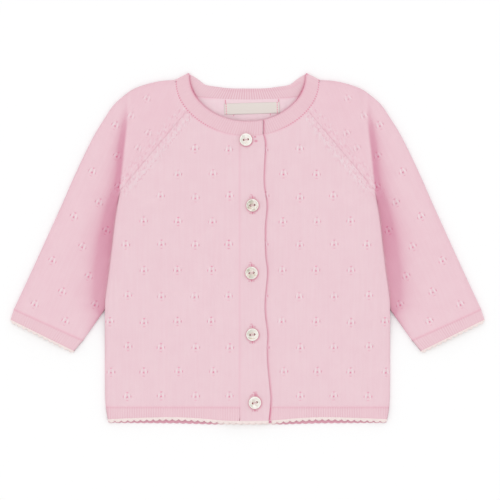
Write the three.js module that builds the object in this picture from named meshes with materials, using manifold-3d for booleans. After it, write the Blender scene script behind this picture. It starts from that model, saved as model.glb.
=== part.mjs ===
// A baby's raglan cardigan in fine knit, lying flat on its back, front up and buttoned.
// Millimetres. X runs across the garment, Y from hem to neck, Z up from the surface it lies on.
// Right and left are the wearer's, so the right half lies on the -X side.

import * as THREE from "three";
import Module from "manifold-3d";
import { mergeVertices } from "three/addons/utils/BufferGeometryUtils.js";

// Driving sizes.
const CLOTH = 1.4; // wall of the knit
const GAP = 0.3; // air between two walls that lie on each other
const INSET = 0.2; // how far each panel stops short of a seam
const UNDERARM_GAP = 0.9; // between body and sleeve where all four seams meet
const LAYER = CLOTH + GAP; // rise from one lying layer to the next
const BACK_Z = CLOTH / 2; // middle of the back's wall
const FRONT_Z = BACK_Z + LAYER; // middle of the front's wall where it lies close on the back
const FOLD = CLOTH + GAP / 2; // outer radius of a fold between the two layers

const UNDERARM = new THREE.Vector2(114.3, 211);
const FRONT_RAGLAN_TOP = new THREE.Vector2(54, 283);
const BACK_RAGLAN_TOP = new THREE.Vector2(50, 296.4);
const SHOULDER = new THREE.Vector2(65.3, 310.5); // top fold where the neckband is sewn on
const NECK_PEAK = new THREE.Vector2(52.9, 316.8); // top fold at the neckband's free edge

const HEM_TOP = 19.4; // seam between panels and rib hem
const PICOT_DEEP = 2.6; // edging, from its root to the tip of a scallop
const PICOT_ROOT = 1.1; // the edging's unbroken part
const SCALLOP = 5.85; // width of one scallop
const NECKBAND_WIDE = 13;
const RIB = 2.15; // width of one rib
const RIB_HIGH = 0.22; // how far a rib stands out of the mean face

const BODY_PUFF = 2.4; // how far the fronts stand off the back
const CENTRE_PUFF = 1.7;
const HEM_PUFF = 0.4;
const SLEEVE_PUFF = 2.9;
const CUFF_PUFF = 1.0;
const BAND_SEAM = 6.75; // buttonhole band's seam, right of the middle
const BUTTON_SEAM = 12.5; // button band's seam, left of the middle
const BUTTON_EDGE = 8.3; // button band's free edge, right of the middle

const BUTTON_RADIUS = 5.75;
const BUTTON_THICK = 2.3;
const BUTTON_HOLE = 0.75; // radius
const BUTTON_HOLE_APART = 1.9; // each hole's centre from the middle
const SLIT = { long: 12, wide: 1.2 };
const LABEL = { x: 4, y: 284.9, long: 49.5, wide: 10, thick: 1, tilt: 1.7 };

// Front neck: ellipses of the band's free edge and of its seam.
const NECK_EDGE = { y: 316, across: 53, down: 43 };
const NECK_SEAM = { y: 312, across: 65.5, down: 52 };

// Half width of the body at each height.
const BODY_SIDE = [
  { y: 0, x: 124.6 },
  { y: 2.7, x: 125 },
  { y: 17, x: 127.4 },
  { y: 37.8, x: 128 },
  { y: 104.4, x: 128 },
  { y: 116, x: 127.3 },
  { y: 137.7, x: 124.4 },
  { y: 157.5, x: 122 },
  { y: 184.5, x: 118.7 },
  { y: 211, x: 114.3 },
];

// Free edge of the buttonhole band, which runs in slow waves.
const BAND_EDGE = [
  { y: 0, x: 18.8 },
  { y: 23.4, x: 19.8 },
  { y: 52, x: 19.2 },
  { y: 81.5, x: 18.4 },
  { y: 110, x: 17.6 },
  { y: 136.9, x: 16.8 },
  { y: 175.5, x: 15.8 },
  { y: 199.8, x: 17.1 },
  { y: 228.6, x: 14.5 },
  { y: 253.8, x: 15.7 },
  { y: 262, x: 13.8 },
];

// Lower edge of the front hem, which rides up a little either side of the middle.
const FRONT_HEM_EDGE = [
  { x: 0, y: 0.6 },
  { x: 20, y: 0.9 },
  { x: 45, y: 3 },
  { x: 68, y: 4 },
  { x: 95, y: 3.4 },
  { x: 128, y: 2 },
];

// Sleeve, from the cuff seam to the underarm: its inner edge, which passes under the body.
const SLEEVE_INNER = [
  { x: 148, y: 76.2 },
  { x: 128, y: 104.4 },
  { x: 116, y: 120.6 },
  { x: 107.5, y: 136 },
  { x: 104.5, y: 150 },
  { x: 105.5, y: 165 },
  { x: 109.5, y: 180 },
  { x: 117.4, y: 196.5 },
  { x: UNDERARM.x + UNDERARM_GAP, y: UNDERARM.y },
];

// Sleeve's outer fold, cuff seam to the row that ends at the underarm.
const SLEEVE_FOLD_LOW = [
  { x: 210.2, y: 104.1 },
  { x: 195.8, y: 134.9 },
  { x: 180.5, y: 168.4 },
  { x: 164.8, y: 203.1 },
  { x: 158.9, y: 216.9 },
  { x: 149, y: 238.5 },
];

// Sleeve's outer fold over the shoulder, up to the neckband.
const SLEEVE_FOLD_HIGH = [
  { x: 149, y: 238.5 },
  { x: 138.2, y: 260.1 },
  { x: 128.3, y: 276.3 },
  { x: 121, y: 287.1 },
  { x: 112, y: 295.6 },
  { x: 100.4, y: 303.3 },
  { x: 81.5, y: 308.9 },
  { x: 65.3, y: 310.5 },
];

// Cuff's end line, where the edging is sewn on.
const CUFF_INNER_END = new THREE.Vector2(156, 66.7);
const CUFF_OUTER_END = new THREE.Vector2(213.2, 95);
const CUFF_EDGE_INNER = new THREE.Vector2(157, 64.4);

// Valley in the sleeve: beside its inner edge, then the body's edge, then the crease to the shoulder.
const VALLEY = [
  { x: 157, y: 64.4 },
  { x: 148, y: 76.2 },
  { x: 128.5, y: 104.4 },
  { x: 128, y: 116 },
  { x: 125, y: 137.7 },
  { x: 122.6, y: 157.5 },
  { x: 119.3, y: 184.5 },
  { x: 115, y: 211 },
  { x: 111.5, y: 242.4 },
  { x: 108.6, y: 271 },
  { x: 107.9, y: 300 },
];
const CREASE_WIDE = 3.5; // the crease's drop takes twice this

// The body climbs over the hidden part of the sleeve.
const CLIMB = { innerFrom: 62, innerTo: 102, lowFrom: 60, lowTo: 103, highFrom: 197, highTo: 211 };

// Back neck, from the shoulder fold to the middle: free edge and seam of the band.
const BACK_EDGE = [
  { x: 48, y: 313.4 },
  { x: 42.6, y: 309.5 },
  { x: 37.4, y: 306 },
  { x: 26.1, y: 304.1 },
  { x: 15.4, y: 302.9 },
  { x: 0, y: 302.7 },
];
const BACK_SEAM = [
  { x: 58, y: 302.7 },
  { x: 50, y: 296.4 },
  { x: 40, y: 294.8 },
  { x: 30, y: 294 },
  { x: 15, y: 293.2 },
  { x: 0, y: 292.9 },
];

// Buttons, from the neck down; slit turned across or along the band.
const BUTTONS = [
  { x: -1.4, y: 256.6, tilt: 7, slit: "across" },
  { x: 4.4, y: 197.7, tilt: 7, slit: "along" },
  { x: 3.6, y: 136.9, tilt: 7, slit: "along" },
  { x: 4.4, y: 81.5, tilt: 7, slit: "along" },
  { x: 6.6, y: 20.3, tilt: 15, slit: "along" },
];

// Columns and rows of the panels' grids.
const BODY_COLUMNS = [0, 0.16, 0.32, 0.47, 0.6, 0.71, 0.79, 0.86, 0.92, 0.97, 1];
const BODY_ROWS = [36, 53, 70, 85, 94, 103, 118, 134, 150, 166, 182, 197, 204];
const YOKE_ROWS = [0, 0.12, 0.26, 0.42, 0.6, 0.8, 1];
const SLEEVE_COLUMNS = 12;
const SLEEVE_BACK_COLUMNS = 6;
const SLEEVE_ROWS_LOW = 12;
const SLEEVE_ROWS_HIGH = 9;
const FOLD_STEPS = 4;

const PINK = new THREE.Color("#edced5");
const PINK_RIB = new THREE.Color("#eac7ce");
const CREAM = new THREE.Color("#efe9df");
const PEARL = new THREE.Color("#dcdcd2");

// Small helpers for tables and points.

const lerp = THREE.MathUtils.lerp;
const smooth = (value, from, to) => THREE.MathUtils.smoothstep(value, from, to);

function steps(from, to, count) {
  return Array.from({ length: count + 1 }, (_, i) => lerp(from, to, i / count));
}

function lookUp(table, key, value, at) {
  const last = table.length - 1;
  let i = 0;
  while (i < last - 1 && table[i + 1][key] < at) i += 1;
  const t = (at - table[i][key]) / (table[i + 1][key] - table[i][key]);
  return lerp(table[i][value], table[i + 1][value], THREE.MathUtils.clamp(t, 0, 1));
}

function points(table) {
  return table.map(({ x, y }) => new THREE.Vector2(x, y));
}

function nearest(path, at) {
  let best = { distance: Infinity };
  for (let i = 0; i < path.length - 1; i += 1) {
    const along = path[i + 1].clone().sub(path[i]);
    const from = at.clone().sub(path[i]);
    const t = THREE.MathUtils.clamp(from.dot(along) / along.lengthSq(), 0, 1);
    const distance = from.clone().addScaledVector(along, -t).length();
    if (distance < best.distance) best = { distance, side: Math.sign(along.cross(from)) };
  }
  return best;
}

// Heights of the lying cloth.

const bodySide = (y) => lookUp(BODY_SIDE, "y", "x", y);
const valleyPath = points(VALLEY);
const foldPath = points([...SLEEVE_FOLD_LOW, ...SLEEVE_FOLD_HIGH, NECK_PEAK]);
const sidePath = points(BODY_SIDE);

function climb(x, y) {
  const a = Math.abs(x);
  const inward = smooth(a, CLIMB.innerFrom, CLIMB.innerTo);
  const upward = smooth(y, CLIMB.lowFrom, CLIMB.lowTo) * (1 - smooth(y, CLIMB.highFrom, CLIMB.highTo));
  return 2 * LAYER * inward * upward;
}

function bodyFullness(at) {
  const fromSide = nearest(sidePath, at).distance;
  const fromMiddle = smooth(at.x, 10, 60);
  const puff = lerp(CENTRE_PUFF, BODY_PUFF, fromMiddle) * (1 - Math.exp(-fromSide / 12));
  return lerp(Math.min(HEM_PUFF, puff), puff, smooth(at.y, 5, 50));
}

function sleeveFullness(at, fromValley) {
  const fromCuff = at.distanceTo(CUFF_EDGE_INNER) - 60;
  return lerp(CUFF_PUFF, SLEEVE_PUFF, smooth(fromCuff, 0, 40)) * smooth(fromValley, 0, 18);
}

// How far the upper layer stands off the lower one, beyond the plain gap.
function fullness(x, y, onSleeve) {
  const at = new THREE.Vector2(Math.abs(x), y);
  const fold = smooth(nearest(foldPath, at).distance, 0, 24);
  if (!onSleeve) return bodyFullness(at) * fold;
  const valley = nearest(valleyPath, at);
  const outside = valley.side < 0 ? valley.distance : -valley.distance;
  const above = at.y > UNDERARM.y ? bodyFullness(at) : 0;
  const crossed = smooth(outside, -CREASE_WIDE, CREASE_WIDE);
  return lerp(above, sleeveFullness(at, Math.max(outside, 0)), crossed) * fold;
}

const lap = (x) => LAYER * smooth(x, -32, -10);
const bodyTop = (x, y) => FRONT_Z + climb(x, y) + fullness(x, y, false);
const sleeveTop = (x, y) => FRONT_Z + fullness(x, y, true);

// Cloth walls: an outer and an inner skin on either side of a surface, closed round their edges.

// Triangles between two rows of points, which may be divided differently.
function zip(a, b, faces) {
  let i = 0;
  let j = 0;
  while (i < a.length - 1 || j < b.length - 1) {
    const stepA = j === b.length - 1 || (i < a.length - 1 && a[i + 1].stop <= b[j + 1].stop);
    if (stepA) {
      faces.push(a[i].index, a[i + 1].index, b[j].index);
      i += 1;
    } else {
      faces.push(a[i].index, b[j + 1].index, b[j].index);
      j += 1;
    }
  }
}

function normalAt(surface, p, w, range) {
  const nudge = 1e-3;
  const lowP = surface(Math.max(p - nudge, range.p[0]), w);
  const highP = surface(Math.min(p + nudge, range.p[1]), w);
  const lowW = surface(p, Math.max(w - nudge, range.w[0]));
  const highW = surface(p, Math.min(w + nudge, range.w[1]));
  return highP.sub(lowP).cross(highW.sub(lowW)).normalize();
}

// surface(p, w) is the middle of the wall. outer and inner give the stops p of the row at w.
function clothWall(surface, rows, outer, inner, wall = CLOTH, relief = () => 0) {
  const all = outer(rows[0]);
  const range = { p: [all[0], all[all.length - 1]], w: [rows[0], rows[rows.length - 1]] };
  const positions = [];
  const skin = (stopsAt, side) =>
    rows.map((w) =>
      stopsAt(w).map((p) => {
        const offset = side * (wall / 2 + relief(p, w, side));
        const place = surface(p, w).addScaledVector(normalAt(surface, p, w, range), offset);
        positions.push(place.x, place.y, place.z);
        return { stop: p, index: positions.length / 3 - 1 };
      }),
    );
  const outside = skin(outer, 1);
  const inside = skin(inner, -1);
  const faces = [];
  const end = rows.length - 1;
  for (let k = 0; k < end; k += 1) {
    zip(outside[k], outside[k + 1], faces);
    zip(inside[k + 1], inside[k], faces);
  }
  zip(inside[0], outside[0], faces);
  zip(outside[end], inside[end], faces);
  const edge = (skinRows, pick) => skinRows.map((row, k) => ({ stop: k, index: pick(row).index }));
  const first = (row) => row[0];
  const last = (row) => row[row.length - 1];
  zip(edge(outside, first), edge(inside, first), faces);
  zip(edge(inside, last), edge(outside, last), faces);
  const geometry = new THREE.BufferGeometry();
  geometry.setAttribute("position", new THREE.Float32BufferAttribute(positions, 3));
  geometry.setIndex(faces);
  return geometry;
}

// The same piece for the other half of the body.
function mirrored(geometry) {
  const copy = geometry.clone().scale(-1, 1, 1);
  const index = copy.getIndex();
  for (let i = 0; i < index.count; i += 3) {
    const swap = index.getX(i);
    index.setX(i, index.getX(i + 1));
    index.setX(i + 1, swap);
  }
  return copy;
}

// Stops of ribs along a strip: a crest and a furrow for each rib.
const ribStops = (from, to, length) => steps(from, to, 2 * Math.round(length / RIB));

function ribRelief(stops) {
  const high = new Map(stops.map((stop, i) => [stop, i % 2 ? RIB_HIGH : -RIB_HIGH]));
  return (p) => high.get(p) ?? 0;
}

// Body panels.

function neckSeamY(x) {
  const a = Math.min(Math.abs(x) / NECK_SEAM.across, 1);
  return NECK_SEAM.y - NECK_SEAM.down * Math.sqrt(1 - a * a);
}

const backSeamY = (x) => lookUp([...BACK_SEAM].reverse(), "x", "y", Math.abs(x));

// Yokes' shortest way from the underarm's level to the neck seam.
const YOKE_LONG = 80;
const FRONT_YOKE_LONG = 35;

// Rows from hem seam to underarm are level; rows of the yoke turn to follow the neck.
const PANEL_ROWS = [
  ...[HEM_TOP + INSET, ...BODY_ROWS].map((y) => (y - HEM_TOP) / (UNDERARM.y - HEM_TOP)),
  ...YOKE_ROWS.map((q) => 1 + q),
];

// ends hold a row's two ends, neckEnds those of the row that is the neck seam.
function yokePoint(ends, neckEnds, across, q, neckY) {
  const at = ends[0].clone().lerp(ends[1], across);
  const seam = neckEnds[0].clone().lerp(neckEnds[1], across);
  at.y += (neckY(seam.x) - seam.y) * q * q;
  return at;
}

function backSurface(p, w) {
  if (w <= 1) {
    const y = lerp(HEM_TOP, UNDERARM.y, w);
    const x = p * bodySide(y);
    return new THREE.Vector3(x, y, BACK_Z + climb(x, y));
  }
  const q = (w - 1) * (1 - INSET / YOKE_LONG);
  const corner = UNDERARM.clone().lerp(BACK_RAGLAN_TOP, q);
  corner.x -= INSET * Math.min(1, (w - 1) / 0.1);
  const flip = (at) => new THREE.Vector2(-at.x, at.y);
  const ends = [flip(corner), corner];
  const at = yokePoint(ends, [flip(BACK_RAGLAN_TOP), BACK_RAGLAN_TOP], (p + 1) / 2, q, backSeamY);
  return new THREE.Vector3(at.x, at.y, BACK_Z);
}

function back() {
  const half = BODY_COLUMNS.slice(1);
  const columns = [...half.map((p) => -p).reverse(), 0, ...half];
  return clothWall(backSurface, PANEL_ROWS, () => columns, () => columns);
}

// side is -1 for the right front and 1 for the left one; p runs from -X to +X on both.
function frontSurface(side, centre, rise) {
  return (p, w) => {
    const out = side < 0 ? 1 - p : p;
    const height = (x, y) => bodyTop(x, y) + rise(x);
    if (w <= 1) {
      const y = lerp(HEM_TOP, UNDERARM.y, w);
      const x = side * lerp(centre + INSET, bodySide(y), out);
      return new THREE.Vector3(x, y, height(x, y));
    }
    const q = (w - 1) * (1 - INSET / FRONT_YOKE_LONG);
    const corner = UNDERARM.clone().lerp(FRONT_RAGLAN_TOP, q);
    corner.x -= INSET * Math.min(1, (w - 1) / 0.1);
    const neckFoot = new THREE.Vector2(centre + INSET, neckSeamY(centre));
    const ends = [new THREE.Vector2(neckFoot.x, lerp(UNDERARM.y, neckFoot.y, q)), corner];
    const at = yokePoint(ends, [neckFoot, FRONT_RAGLAN_TOP], out, q, neckSeamY);
    return new THREE.Vector3(side * at.x, at.y, height(side * at.x, at.y));
  };
}

function front(side, centre, rise) {
  const share = centre / UNDERARM.x;
  const outer = BODY_COLUMNS.filter((p) => p > share + 0.05);
  const columns = [0, ...outer.map((p) => (p - share) / (1 - share))];
  const stops = side < 0 ? columns.map((p) => 1 - p).reverse() : columns;
  return clothWall(frontSurface(side, centre, rise), PANEL_ROWS, () => stops, () => stops);
}

// Rib hems.

const frontHemEdge = (x) => lookUp(FRONT_HEM_EDGE, "x", "y", Math.abs(x));
const backHemEdge = (x) => lerp(0, 1.6, smooth(Math.abs(x), 60, 125));

function hemSurface(from, to, edge, height) {
  return (p, w) => {
    const share = lerp(from, to, p);
    const low = edge(share * BODY_SIDE[1].x) + PICOT_DEEP + INSET;
    const y = lerp(low, HEM_TOP - INSET, w);
    const x = share * bodySide(y);
    return new THREE.Vector3(x, y, height(x, y));
  };
}

function hemBack() {
  const columns = steps(0, 1, 16);
  const surface = hemSurface(-1, 1, backHemEdge, () => BACK_Z);
  return clothWall(surface, [0, 0.5, 1], () => columns, () => columns);
}

function hemFront(from, to, rise) {
  const surface = hemSurface(from, to, frontHemEdge, (x, y) => bodyTop(x, y) + rise(x));
  const ribs = ribStops(0, 1, (to - from) * BODY_SIDE[2].x);
  const plain = steps(0, 1, 8);
  const relief = ribRelief(ribs);
  const high = (p, _, side) => (side > 0 ? relief(p) : 0);
  return clothWall(surface, [0, 1], () => ribs, () => plain, CLOTH, high);
}

// Bands of the front opening.

function bandSurface(left, right, rise) {
  return (p, w) => {
    const foot = frontHemEdge(lerp(left(0), right(0), p)) + PICOT_DEEP + INSET;
    const head = neckSeamY(lerp(left(UNDERARM.y), right(UNDERARM.y), p)) - INSET;
    const y = lerp(foot, head, w);
    const x = lerp(left(y), right(y), p);
    return new THREE.Vector3(x, y, bodyTop(x, y) + rise(x));
  };
}

function buttonholeBand() {
  const edge = (y) => lookUp(BAND_EDGE, "y", "x", y);
  const surface = bandSurface(() => -BAND_SEAM, edge, lap);
  const columns = steps(0, 1, 4);
  return clothWall(surface, steps(0, 1, 24), () => columns, () => columns);
}

function buttonBand() {
  const surface = bandSurface(() => -BUTTON_EDGE, () => BUTTON_SEAM - INSET, () => 0);
  const columns = steps(0, 1, 4);
  return clothWall(surface, steps(0, 1, 16), () => columns, () => columns);
}

// Sleeves, cuffs and the tubes' fold.

const innerPath = new THREE.CurvePath();
points(SLEEVE_INNER).forEach((at, i, all) => {
  if (i) innerPath.add(new THREE.LineCurve(all[i - 1], at));
});
const foldLow = new THREE.SplineCurve(points(SLEEVE_FOLD_LOW));
const foldHigh = new THREE.SplineCurve(points(SLEEVE_FOLD_HIGH));

// One flattened tube: upper layer for p from 0 to 1, fold from 1 to 2, lower layer from 2 to 3.
function tubePoint(p, upper, lower, fold, inward, height) {
  const rim = fold.clone().addScaledVector(inward, FOLD);
  if (p <= 1) {
    const at = upper(p, rim);
    return new THREE.Vector3(at.x, at.y, height(at.x, at.y));
  }
  if (p >= 2) {
    const at = lower(3 - p, rim);
    return new THREE.Vector3(at.x, at.y, BACK_Z);
  }
  const turn = (p - 1) * Math.PI;
  const radius = LAYER / 2;
  const at = rim.addScaledVector(inward, -radius * Math.sin(turn));
  return new THREE.Vector3(at.x, at.y, BACK_Z + radius + radius * Math.cos(turn));
}

const turnedIn = (tangent) => new THREE.Vector2(-tangent.y, tangent.x).normalize();
const straight = (from) => (share, rim) => from.clone().lerp(rim, share);

function sleeveSurface(p, w) {
  if (w <= 1) {
    const layer = straight(innerPath.getPointAt(w));
    const inward = turnedIn(foldLow.getTangentAt(w));
    return tubePoint(p, layer, layer, foldLow.getPointAt(w), inward, sleeveTop);
  }
  const q = (w - 1) * (1 - INSET / YOKE_LONG);
  const seamShift = lerp(UNDERARM_GAP, INSET, Math.min(1, (w - 1) / 0.1));
  const upperFrom = UNDERARM.clone().lerp(FRONT_RAGLAN_TOP, q);
  const lowerFrom = UNDERARM.clone().lerp(BACK_RAGLAN_TOP, q);
  upperFrom.x += seamShift;
  lowerFrom.x += seamShift;
  const upper = (share, rim) => {
    const at = upperFrom.clone().lerp(rim, share);
    const angle = lerp(Math.asin(FRONT_RAGLAN_TOP.x / NECK_SEAM.across), Math.PI / 2, share);
    const chord = FRONT_RAGLAN_TOP.clone().lerp(SHOULDER, share);
    const arc = ellipsePoint(NECK_SEAM, angle);
    return at.addScaledVector(arc.sub(chord), q ** 3 * (1 - share ** 4));
  };
  const inward = turnedIn(foldHigh.getTangentAt(q));
  return tubePoint(p, upper, straight(lowerFrom), foldHigh.getPointAt(q), inward, sleeveTop);
}

const tubeColumns = (upper, lower) => [
  ...steps(0, 1, upper),
  ...steps(1, 2, FOLD_STEPS).slice(1),
  ...steps(2, 3, lower).slice(1),
];

function sleeve() {
  const columns = tubeColumns(SLEEVE_COLUMNS, SLEEVE_BACK_COLUMNS);
  const start = INSET / innerPath.getLength();
  const low = steps(0, 1, SLEEVE_ROWS_LOW).slice(1);
  const high = steps(1, 2, SLEEVE_ROWS_HIGH).slice(1);
  return clothWall(sleeveSurface, [start, ...low, ...high], () => columns, () => columns);
}

const CUFF_SEAM_INNER = points(SLEEVE_INNER)[0];
const CUFF_SEAM_OUTER = points(SLEEVE_FOLD_LOW)[0];
const CUFF_WIDE = CUFF_SEAM_INNER.distanceTo(CUFF_SEAM_OUTER);
const alongSleeve = CUFF_OUTER_END.clone().add(CUFF_INNER_END).sub(CUFF_SEAM_INNER).sub(CUFF_SEAM_OUTER);
alongSleeve.normalize();

// w runs from the cuff's end up to its seam, so that the outer skin stays outside.
function cuffSurface(p, w) {
  const inner = CUFF_INNER_END.clone().lerp(CUFF_SEAM_INNER, w);
  const fold = CUFF_OUTER_END.clone().lerp(CUFF_SEAM_OUTER, w);
  const inward = inner.clone().sub(fold).normalize();
  return tubePoint(p, straight(inner), straight(inner), fold, inward, sleeveTop);
}

function cuff() {
  const ribs = ribStops(0, 1, CUFF_WIDE);
  const rest = [...steps(1, 2, FOLD_STEPS).slice(1), ...steps(2, 3, SLEEVE_BACK_COLUMNS).slice(1)];
  const plain = tubeColumns(8, SLEEVE_BACK_COLUMNS);
  const relief = ribRelief(ribs);
  const rows = [INSET / 10, 1 - INSET / 10];
  const high = (p, _, side) => (side > 0 && p < 1 ? relief(p) : 0);
  return clothWall(cuffSurface, rows, () => [...ribs, ...rest], () => plain, CLOTH, high);
}

// Scalloped edging: its lower row of points swings out and back once for each scallop.

const SCALLOP_STEPS = 4;

function scallopReach(i) {
  const turn = (Math.PI * (i % SCALLOP_STEPS)) / SCALLOP_STEPS;
  return lerp(PICOT_ROOT, PICOT_DEEP, Math.sin(turn));
}

function scallopStops(from, to, length) {
  const count = Math.round(length / SCALLOP);
  const fine = steps(from, to, count * SCALLOP_STEPS);
  const coarse = fine.filter((_, i) => i % SCALLOP_STEPS === 0);
  return { fine, coarse, reach: fine.map((_, i) => scallopReach(i)) };
}

function reachAt(stops, p) {
  const span = stops.fine[1] - stops.fine[0];
  const i = THREE.MathUtils.clamp((p - stops.fine[0]) / span, 0, stops.fine.length - 1);
  const low = Math.floor(i);
  return lerp(stops.reach[low], stops.reach[Math.min(low + 1, stops.reach.length - 1)], i - low);
}

function picotHem(left, right, edge, height) {
  const stops = scallopStops(0, 1, right - left);
  const surface = (p, w) => {
    const x = lerp(left, right, p);
    const y = edge(x) + PICOT_DEEP - lerp(reachAt(stops, p), 0, w);
    return new THREE.Vector3(x, y, height(x, y));
  };
  const columns = (w) => (w ? stops.coarse : stops.fine);
  return clothWall(surface, [0, 1], columns, columns);
}

function picotCuff() {
  const upper = scallopStops(0, 1, CUFF_WIDE);
  const lower = scallopStops(2, 3, CUFF_WIDE);
  const arc = steps(1, 2, FOLD_STEPS).slice(1, -1);
  const reach = (p) => (p <= 1 ? reachAt(upper, p) : p >= 2 ? reachAt(lower, p) : PICOT_ROOT);
  const surface = (p, w) => {
    const out = lerp(reach(p), 0, w);
    const inner = CUFF_INNER_END.clone().addScaledVector(alongSleeve, out);
    const fold = CUFF_OUTER_END.clone().addScaledVector(alongSleeve, out);
    const inward = CUFF_INNER_END.clone().sub(CUFF_OUTER_END).normalize();
    return tubePoint(p, straight(inner), straight(inner), fold, inward, sleeveTop);
  };
  const columns = (w) => {
    const kind = w ? "coarse" : "fine";
    return [...upper[kind], ...arc, ...lower[kind]];
  };
  return clothWall(surface, [0, 1], columns, columns);
}

// Neckband: upper end at the opening, right shoulder, back, left shoulder, lower end.

const ellipsePoint = (ellipse, angle) =>
  new THREE.Vector2(ellipse.across * Math.sin(angle), ellipse.y - ellipse.down * Math.cos(angle));

const bandAlong = NECK_PEAK.clone().sub(SHOULDER).normalize();
const bandInward = new THREE.Vector2(-bandAlong.y, bandAlong.x);
const rimOf = (corner) => corner.clone().addScaledVector(bandInward, FOLD);

function backCurve(table, corner) {
  const half = points(table);
  const start = rimOf(corner);
  const rightHalf = [start, ...half];
  const leftHalf = rightHalf.slice(0, -1).reverse().map((at) => new THREE.Vector2(-at.x, at.y));
  return new THREE.SplineCurve([...rightHalf, ...leftHalf]);
}

const NECK_LINES = [
  { ellipse: NECK_SEAM, corner: SHOULDER, back: backCurve(BACK_SEAM, SHOULDER) },
  { ellipse: NECK_EDGE, corner: NECK_PEAK, back: backCurve(BACK_EDGE, NECK_PEAK) },
];

// A point on one line of the band, on the +X half, share 0 at the end beyond the middle, 1 at the shoulder.
function frontNeckPoint(line, share, beyond) {
  const from = -Math.asin(beyond / line.ellipse.across);
  const at = ellipsePoint(line.ellipse, lerp(from, Math.PI / 2, share));
  const miss = rimOf(line.corner).sub(ellipsePoint(line.ellipse, Math.PI / 2));
  return at.addScaledVector(miss, share ** 6);
}

// s runs 0 to 1 over the right front, 1 to 2 over the fold, 2 to 3 across the back,
// 3 to 4 over the other fold and 4 to 5 down the left front.
function neckLinePoint(line, s) {
  const height = (x, y) => FRONT_Z + fullness(x, y, false);
  if (s <= 1) {
    const at = frontNeckPoint(line, s, BAND_EDGE[10].x);
    return new THREE.Vector3(-at.x, at.y, height(at.x, at.y) + lap(-at.x));
  }
  if (s >= 4) {
    const at = frontNeckPoint(line, 5 - s, BUTTON_EDGE);
    return new THREE.Vector3(at.x, at.y, height(at.x, at.y));
  }
  if (s >= 2 && s <= 3) {
    const at = line.back.getPointAt(3 - s);
    return new THREE.Vector3(at.x, at.y, BACK_Z);
  }
  const right = s < 2;
  const turn = (right ? s - 1 : 4 - s) * Math.PI;
  const radius = LAYER / 2;
  const at = rimOf(line.corner).addScaledVector(bandInward, -radius * Math.sin(turn));
  return new THREE.Vector3(right ? -at.x : at.x, at.y, BACK_Z + radius + radius * Math.cos(turn));
}

function neckbandSurface(p, w) {
  const [seam, edge] = NECK_LINES.map((line) => neckLinePoint(line, p));
  return edge.lerp(seam, w);
}

function neckband() {
  const rightRibs = ribStops(0, 1, 98);
  const backRibs = ribStops(2, 3, 124);
  const leftRibs = ribStops(4, 5, 92);
  const fold = (s) => steps(s, s + 1, FOLD_STEPS).slice(1, -1);
  const outer = [...rightRibs, ...fold(1), ...steps(2, 3, 24), ...fold(3), ...leftRibs];
  const inner = [...steps(0, 1, 18), ...fold(1), ...backRibs, ...fold(3), ...steps(4, 5, 18)];
  const frontRelief = ribRelief([...rightRibs, ...leftRibs]);
  const backRelief = ribRelief(backRibs);
  const relief = (p, w, side) => {
    if (Number.isInteger(p)) return 0;
    return side > 0 ? frontRelief(p) : backRelief(p);
  };
  const seam = 1 - (1.5 * INSET) / NECKBAND_WIDE;
  return clothWall(neckbandSurface, [0, seam], () => outer, () => inner, CLOTH, relief);
}

// Label, made from the back's own surface moved up.

function label() {
  const tilt = THREE.MathUtils.degToRad(LABEL.tilt);
  const surface = (p, w) => {
    const along = (p - 0.5) * LABEL.long;
    const across = (w - 0.5) * LABEL.wide;
    const x = LABEL.x + along * Math.cos(tilt) - across * Math.sin(tilt);
    const y = LABEL.y + along * Math.sin(tilt) + across * Math.cos(tilt);
    return new THREE.Vector3(x, y, CLOTH + GAP + LABEL.thick / 2);
  };
  const columns = steps(0, 1, 6);
  return clothWall(surface, [0, 0.5, 1], () => columns, () => columns, LABEL.thick);
}

// Buttons: a turned disc with a raised rim, cut by two thread holes.

const wasm = await Module();
wasm.setup();

function toManifold(geometry) {
  const plain = geometry.clone();
  plain.deleteAttribute("normal");
  plain.deleteAttribute("uv");
  const merged = mergeVertices(plain);
  return new wasm.Manifold(
    new wasm.Mesh({
      numProp: 3,
      vertProperties: new Float32Array(merged.getAttribute("position").array),
      triVerts: new Uint32Array(merged.getIndex().array),
    }),
  );
}

function toGeometry(manifold) {
  const mesh = manifold.getMesh();
  const geometry = new THREE.BufferGeometry();
  geometry.setAttribute("position", new THREE.BufferAttribute(new Float32Array(mesh.vertProperties), 3));
  geometry.setIndex(new THREE.BufferAttribute(new Uint32Array(mesh.triVerts), 1));
  return geometry;
}

function cutAll(geometry, cutters) {
  const cut = (left, cutter) => left.subtract(toManifold(cutter));
  return toGeometry(cutters.reduce(cut, toManifold(geometry)));
}

function button() {
  const r = BUTTON_RADIUS;
  const t = BUTTON_THICK;
  const profile = [
    new THREE.Vector2(0, 0),
    new THREE.Vector2(r * 0.8, 0),
    new THREE.Vector2(r, t * 0.45),
    new THREE.Vector2(r * 0.95, t * 0.9),
    new THREE.Vector2(r * 0.84, t),
    new THREE.Vector2(r * 0.68, t * 0.7),
    new THREE.Vector2(0, t * 0.62),
  ];
  const disc = new THREE.LatheGeometry(profile, 20).rotateX(Math.PI / 2);
  const holes = [-1, 1].map((side) => {
    const drill = new THREE.CylinderGeometry(BUTTON_HOLE, BUTTON_HOLE, 3 * t, 8).rotateX(Math.PI / 2);
    return drill.translate(side * BUTTON_HOLE_APART, 0, t / 2);
  });
  return cutAll(disc, holes);
}

function slitCutters() {
  return BUTTONS.map(({ x, y, slit }) => {
    const size = slit === "across" ? [SLIT.long, SLIT.wide] : [SLIT.wide, SLIT.long];
    return new THREE.BoxGeometry(size[0], size[1], 20).translate(x, y, FRONT_Z + LAYER);
  });
}

// The garment.

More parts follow.
